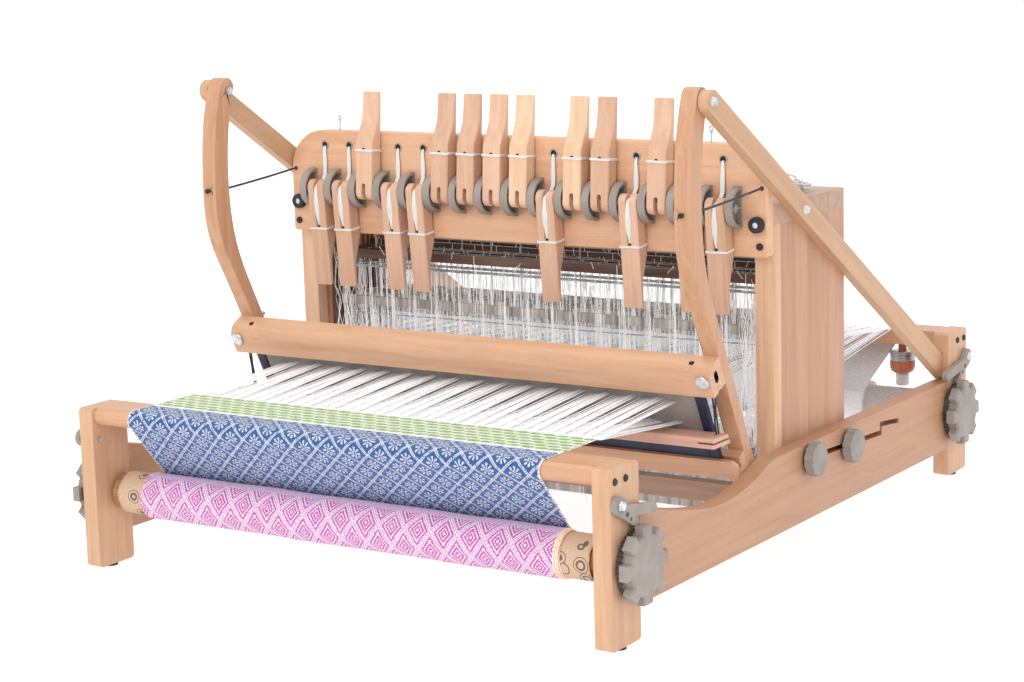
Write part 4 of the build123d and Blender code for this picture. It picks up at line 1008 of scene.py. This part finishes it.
def make_lever_cords():
    """Cords that run from the eyelets in the lever board into each lever's slot."""
    eyelets, bores, cords = Shape(), Shape(), Shape()
    face = BOARD_LOW.y
    for number, x in LEVER_X.items():
        eyelets.ring((x, face - 0.0003, CORD_HOLE_Z), BACK, 0.0050, 0.0010, steps=28, sides=8)
        # painted shade: a dark disc in each eyelet stands for the shadow inside the hole
        bores.lathe((x, face - 0.0004, CORD_HOLE_Z), BACK, [(0, 0.0048), (0.0005, 0.0048)], steps=28)
        for strand in range(5):
            shift = (strand - 2) * 0.00125
            turn = random.uniform(-0.0004, 0.0004)
            cords.tube([(x + shift * 0.3, face + 0.001, CORD_HOLE_Z - 0.0012),
                        (x + shift * 0.4, face - 0.0014, CORD_HOLE_Z - 0.0026),
                        (x + shift * 0.7 + turn, face - 0.0021, CORD_HOLE_Z - 0.009),
                        (x + shift - turn, face - 0.0023, CORD_HOLE_Z - 0.028),
                        (x + shift * 0.9, face - 0.0028, PIVOT_Z + 0.018),
                        (x + shift * 0.7, face - 0.008, PIVOT_Z + 0.011),
                        (x + shift * 0.6, PIVOT_Y, PIVOT_Z + 0.0085)], 0.00085, sides=6)
    eyelets.build("cord_eyelets", "dull_steel", "frame", "steel")
    bores.build("eyelet_bores", "painted_hole_shade", "frame", "beech_dark")
    cords.build("lever_cords", "white_cord", "frame", "white_cord")
    for number, x in LEVER_X.items():
        angle = radians(185 if number in RAISED else -4)
        along = Vector((0, -sin(angle), cos(angle)))
        across = Vector((0, cos(angle), sin(angle)))

        def at(side, out, up, origin=Vector((x, PIVOT_Y, PIVOT_Z)), along=along, across=across):
            return origin + Vector((side, 0, 0)) + across * out + along * up
        shape = Shape()
        for strand in range(5):
            shift = (strand - 2) * 0.0009
            route = ((0.7, 0.001, -0.007), (1, 0.0078, -0.003), (1.1, 0.0096, 0.006), (1.7, 0.0102, 0.018),
                     (1.5, 0.0100, 0.030), (0.8, 0.0090, 0.042), (0.2, 0.0078, 0.0495))
            shape.tube([at(shift * spread, out, up) for spread, out, up in route], 0.0009, sides=6)
        shape.build(f"lever_{number:02d}_cord", "white_cord", f"lever_{number:02d}", "white_cord")
        band = Shape()
        width, depth = 0.0137, 0.0107
        for level in (0.0533, 0.0547):
            corners = [(-width, depth), (-width + 0.001, depth + 0.0004), (width - 0.001, depth + 0.0004),
                       (width, depth), (width + 0.0003, depth - 0.001), (width + 0.0003, -depth + 0.001),
                       (width, -depth), (width - 0.001, -depth - 0.0003), (-width + 0.001, -depth - 0.0003),
                       (-width, -depth), (-width - 0.0003, -depth + 0.001), (-width - 0.0003, depth - 0.001),
                       (-width, depth)]
            band.tube([at(side, out, level + 0.0004 * sin(index * 1.7)) for index, (side, out)
                       in enumerate(corners)], 0.00085, sides=6)
        band.build(f"lever_{number:02d}_tie", "white_cord", f"lever_{number:02d}", "white_cord")
        # painted shade: dark discs on the lever's two faces stand for the shadow inside the cord's holes
        bore = Shape()
        bore.lathe(at(0, 0.0068, 0.0505), across, [(0, 0.0024), (0.0011, 0.0024)], steps=20)
        bore.lathe(at(0, -0.0103, 0.0555), -across, [(0, 0.0024), (0.0003, 0.0024)], steps=20)
        bore.build(f"lever_{number:02d}_bore", "painted_hole_shade", f"lever_{number:02d}", "beech_dark")


# ------------------------------------------------------------------ small pieces
def make_board_pins():
    """Two wire pins with an eye on the lever board's top edge."""
    shape = Shape()
    for x in (-0.287, 0.287):
        y, base = BOARD_LOW.y + 0.008, BOARD_HIGH.z
        shape.tube([(x, y, base - 0.004), (x, y, base + 0.0135)], 0.0011, sides=10)
        shape.ring((x, y, base + 0.0168), (0.45, 1, 0), 0.0032, 0.0010, steps=28, sides=8)
        turns = ((0, 0, 0.0095), (0.0015, -0.0012, 0.0105), (0.0012, 0.0012, 0.0115),
                 (-0.0012, 0.0012, 0.0125), (-0.0012, -0.0012, 0.0135))
        shape.tube([(x + right, y + back, base + up) for right, back, up in turns], 0.0007, sides=6)
    shape.build("board_wire_pins", "steel", "frame", "steel")


def make_castle_rollers():
    """Clear rollers on the castle's top at both ends, with turns of cord round them."""
    plastic_shape, steel_shape, cord_shape = Shape(), Shape(), Shape()
    top = TOP_HIGH.z
    for side in (-1, 1):
        for x, y, tall in ((0.322, 0.098, 0.012), (0.340, 0.086, 0.010), (0.333, 0.066, 0.012)):
            spool = [(0, 0.0085), (0.0016, 0.0088), (0.0026, 0.0062), (tall - 0.0026, 0.0062),
                     (tall - 0.0016, 0.0088), (tall, 0.0082)]
            screw_head = [(0, 0.0036), (0.0014, 0.0034), (0.002, 0.002)]
            plastic_shape.lathe((side * x, y, top), UP, spool, steps=36)
            steel_shape.lathe((side * x, y, top + tall), UP, screw_head, steps=24)
            for k in range(4):
                centre, normal = (side * x, y, top + 0.0038 + 0.0014 * k), (0.04 * (k % 3 - 1), 0.05, 1)
                cord_shape.ring(centre, normal, 0.0069, 0.0008, steps=24, sides=6)
        cord_shape.tube([(side * 0.322, 0.105, top + 0.006), (side * 0.316, 0.116, top + 0.009),
                         (side * 0.308, 0.121, top + 0.013)], 0.0009, sides=6)
    plastic_shape.build("cord_rollers", "clear_plastic", "frame", "moulded_grey")
    steel_shape.build("roller_screws", "steel", "frame", "steel")
    cord_shape.build("roller_cords", "white_cord", "frame", "white_cord")


def make_handrail_holes():
    """Painted shade in the handrail's bores: dark discs, one on top near each end and an oval one in each
    end face.
    """
    shape = Shape()
    rail_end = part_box("beater_rails")[1].x
    for side in (-1, 1):
        shape.lathe(on_sword(side * (rail_end - 0.0295), 0.016, 0.0042), -DOWN_SWORD,
                    [(0, 0.0034), (0.0006, 0.0034)], steps=24)
        # three overlapping dark discs make the oval patch of painted shade in the end face
        for rise in (-0.0036, 0, 0.0036):
            shape.lathe(on_sword(side * (rail_end - 0.0004), 0.017, 0.021 + rise), (side, 0, 0),
                        [(0, 0.0044), (0.0007, 0.0044)], steps=24)
    shape.build("handrail_bores", "painted_hole_shade", "beater", "beech_dark")


def make_selvedge_weight():
    """Hanging weight: dowel, steel washers, wooden ring and a wound hank of white yarn."""
    low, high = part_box("selvedge_weight")
    x, y, foot = (low.x + high.x) / 2, (low.y + high.y) / 2, low.z
    wood_shape, steel_shape, yarn_shape = Shape(), Shape(), Shape()
    wooden_ring = [(0, 0.0125), (0.003, 0.0165), (0.009, 0.0184), (0.017, 0.0184), (0.0185, 0.0172)]
    dowel = [(0, 0.006), (0.032, 0.0061), (0.0335, 0.005)]
    washer = [(0, 0.0176), (0.0003, 0.0183), (0.0017, 0.0183), (0.002, 0.0176)]
    wood_shape.lathe((x, y, foot + 0.019), UP, wooden_ring, steps=56)
    wood_shape.lathe((x, y, foot + 0.03), UP, dowel, steps=32)
    for k in range(6):
        off_x, off_y = random.uniform(-0.0004, 0.0004), random.uniform(-0.0004, 0.0004)
        steel_shape.lathe((x + off_x, y + off_y, foot + 0.0376 + 0.0023 * k), UP, washer, steps=56)
    for k in range(9):
        lean = (random.uniform(-0.06, 0.06), random.uniform(-0.06, 0.06), 1)
        centre = (x, y, foot + 0.0012 + 0.002 * k)
        yarn_shape.ring(centre, lean, 0.0079 + 0.001 * (k % 2), 0.0013, steps=32, sides=6)
    wood_shape.build("weight_ring_and_dowel", "weight_wood", "selvedge_weight", "beam_wood",
                     ["selvedge_weight"])
    steel_shape.build("weight_washers", "steel", "selvedge_weight", "steel")
    yarn_shape.build("weight_yarn", "white_yarn", "selvedge_weight", "warp_yarn")


# ------------------------------------------------------------------ surroundings
def make_floor():
    """Wide pale floor under the loom."""
    shape = Shape()
    size = 9.0
    for x, y in ((-size, -size), (size, -size), (size, size), (-size, size)):
        shape.verts.append(Vector((x, y, -0.0002)))
    shape.face((0, 1, 2, 3), 0)
    nodes = Nodes("floor_white", roughness=0.9)
    cloudy = nodes.noise(nodes.place(), scale=2.0)
    nodes.colour(nodes.ramp(cloudy, (0.3, (182, 182, 182)), (0.7, (186, 186, 186))))
    nodes.shader.inputs["Emission Color"].default_value = (1, 1, 1, 1)
    nodes.shader.inputs["Emission Strength"].default_value = 0.78
    MATERIALS["floor"] = nodes.material
    shape.build("floor", "floor", smooth=False)


def area_light(name, place, target, size, power):
    """Rectangular light that faces its target."""
    data = bpy.data.lights.new(name, "AREA")
    data.shape = "RECTANGLE"
    data.size, data.size_y = size
    data.energy = power
    light = bpy.data.objects.new(name, data)
    light.location = place
    light.rotation_euler = (Vector(target) - Vector(place)).to_track_quat("-Z", "Y").to_euler()
    bpy.context.scene.collection.objects.link(light)


def make_lights():
    """Soft white studio light from above and in front, on a white background."""
    world = bpy.data.worlds.new("studio")
    world.use_nodes = True
    background = world.node_tree.nodes["Background"]
    background.inputs[0].default_value = (1, 1, 1, 1)
    background.inputs[1].default_value = 1.0
    bpy.context.scene.world = world
    area_light("key", (0.6, -3.0, 2.4), (0, 0, 0.25), (2.0, 1.6), 34)
    area_light("top", (0, 0.4, 3.2), (0, 0, 0.3), (2.4, 2.4), 20)


def make_camera():
    """Camera fitted to the photo: at the loom's front right corner, a little above its top."""
    yaw, pitch, roll = 0.579084, 0.176955, -0.026727
    back = Vector((sin(yaw) * cos(pitch), -cos(yaw) * cos(pitch), sin(pitch)))
    right = (-back).cross(Vector((0, 0, 1))).normalized()
    up = right.cross(-back)
    turned_right = right * cos(roll) + up * sin(roll)
    turned_up = up * cos(roll) - right * sin(roll)
    data = bpy.data.cameras.new("camera")
    data.lens = 83.88
    data.sensor_width = 36
    camera = bpy.data.objects.new("camera", data)
    rotation = Matrix((turned_right, turned_up, back)).transposed().to_4x4()
    camera.matrix_world = Matrix.Translation(Vector((1688.7, -2675.7, 810.1)) * MM) @ rotation
    bpy.context.scene.collection.objects.link(camera)
    bpy.context.scene.camera = camera


dress_frame()
make_camera()
places = thread_places()
make_web()
make_cloth_roll()
make_warp(places)
make_warp_winding()
make_heddles(places)
make_reed()
make_elastics()
make_lift_cords()
make_lever_cords()
make_board_pins()
make_castle_rollers()
make_handrail_holes()
make_selvedge_weight()
make_floor()
make_lights()

bpy.context.scene.view_settings.view_transform = "Standard"
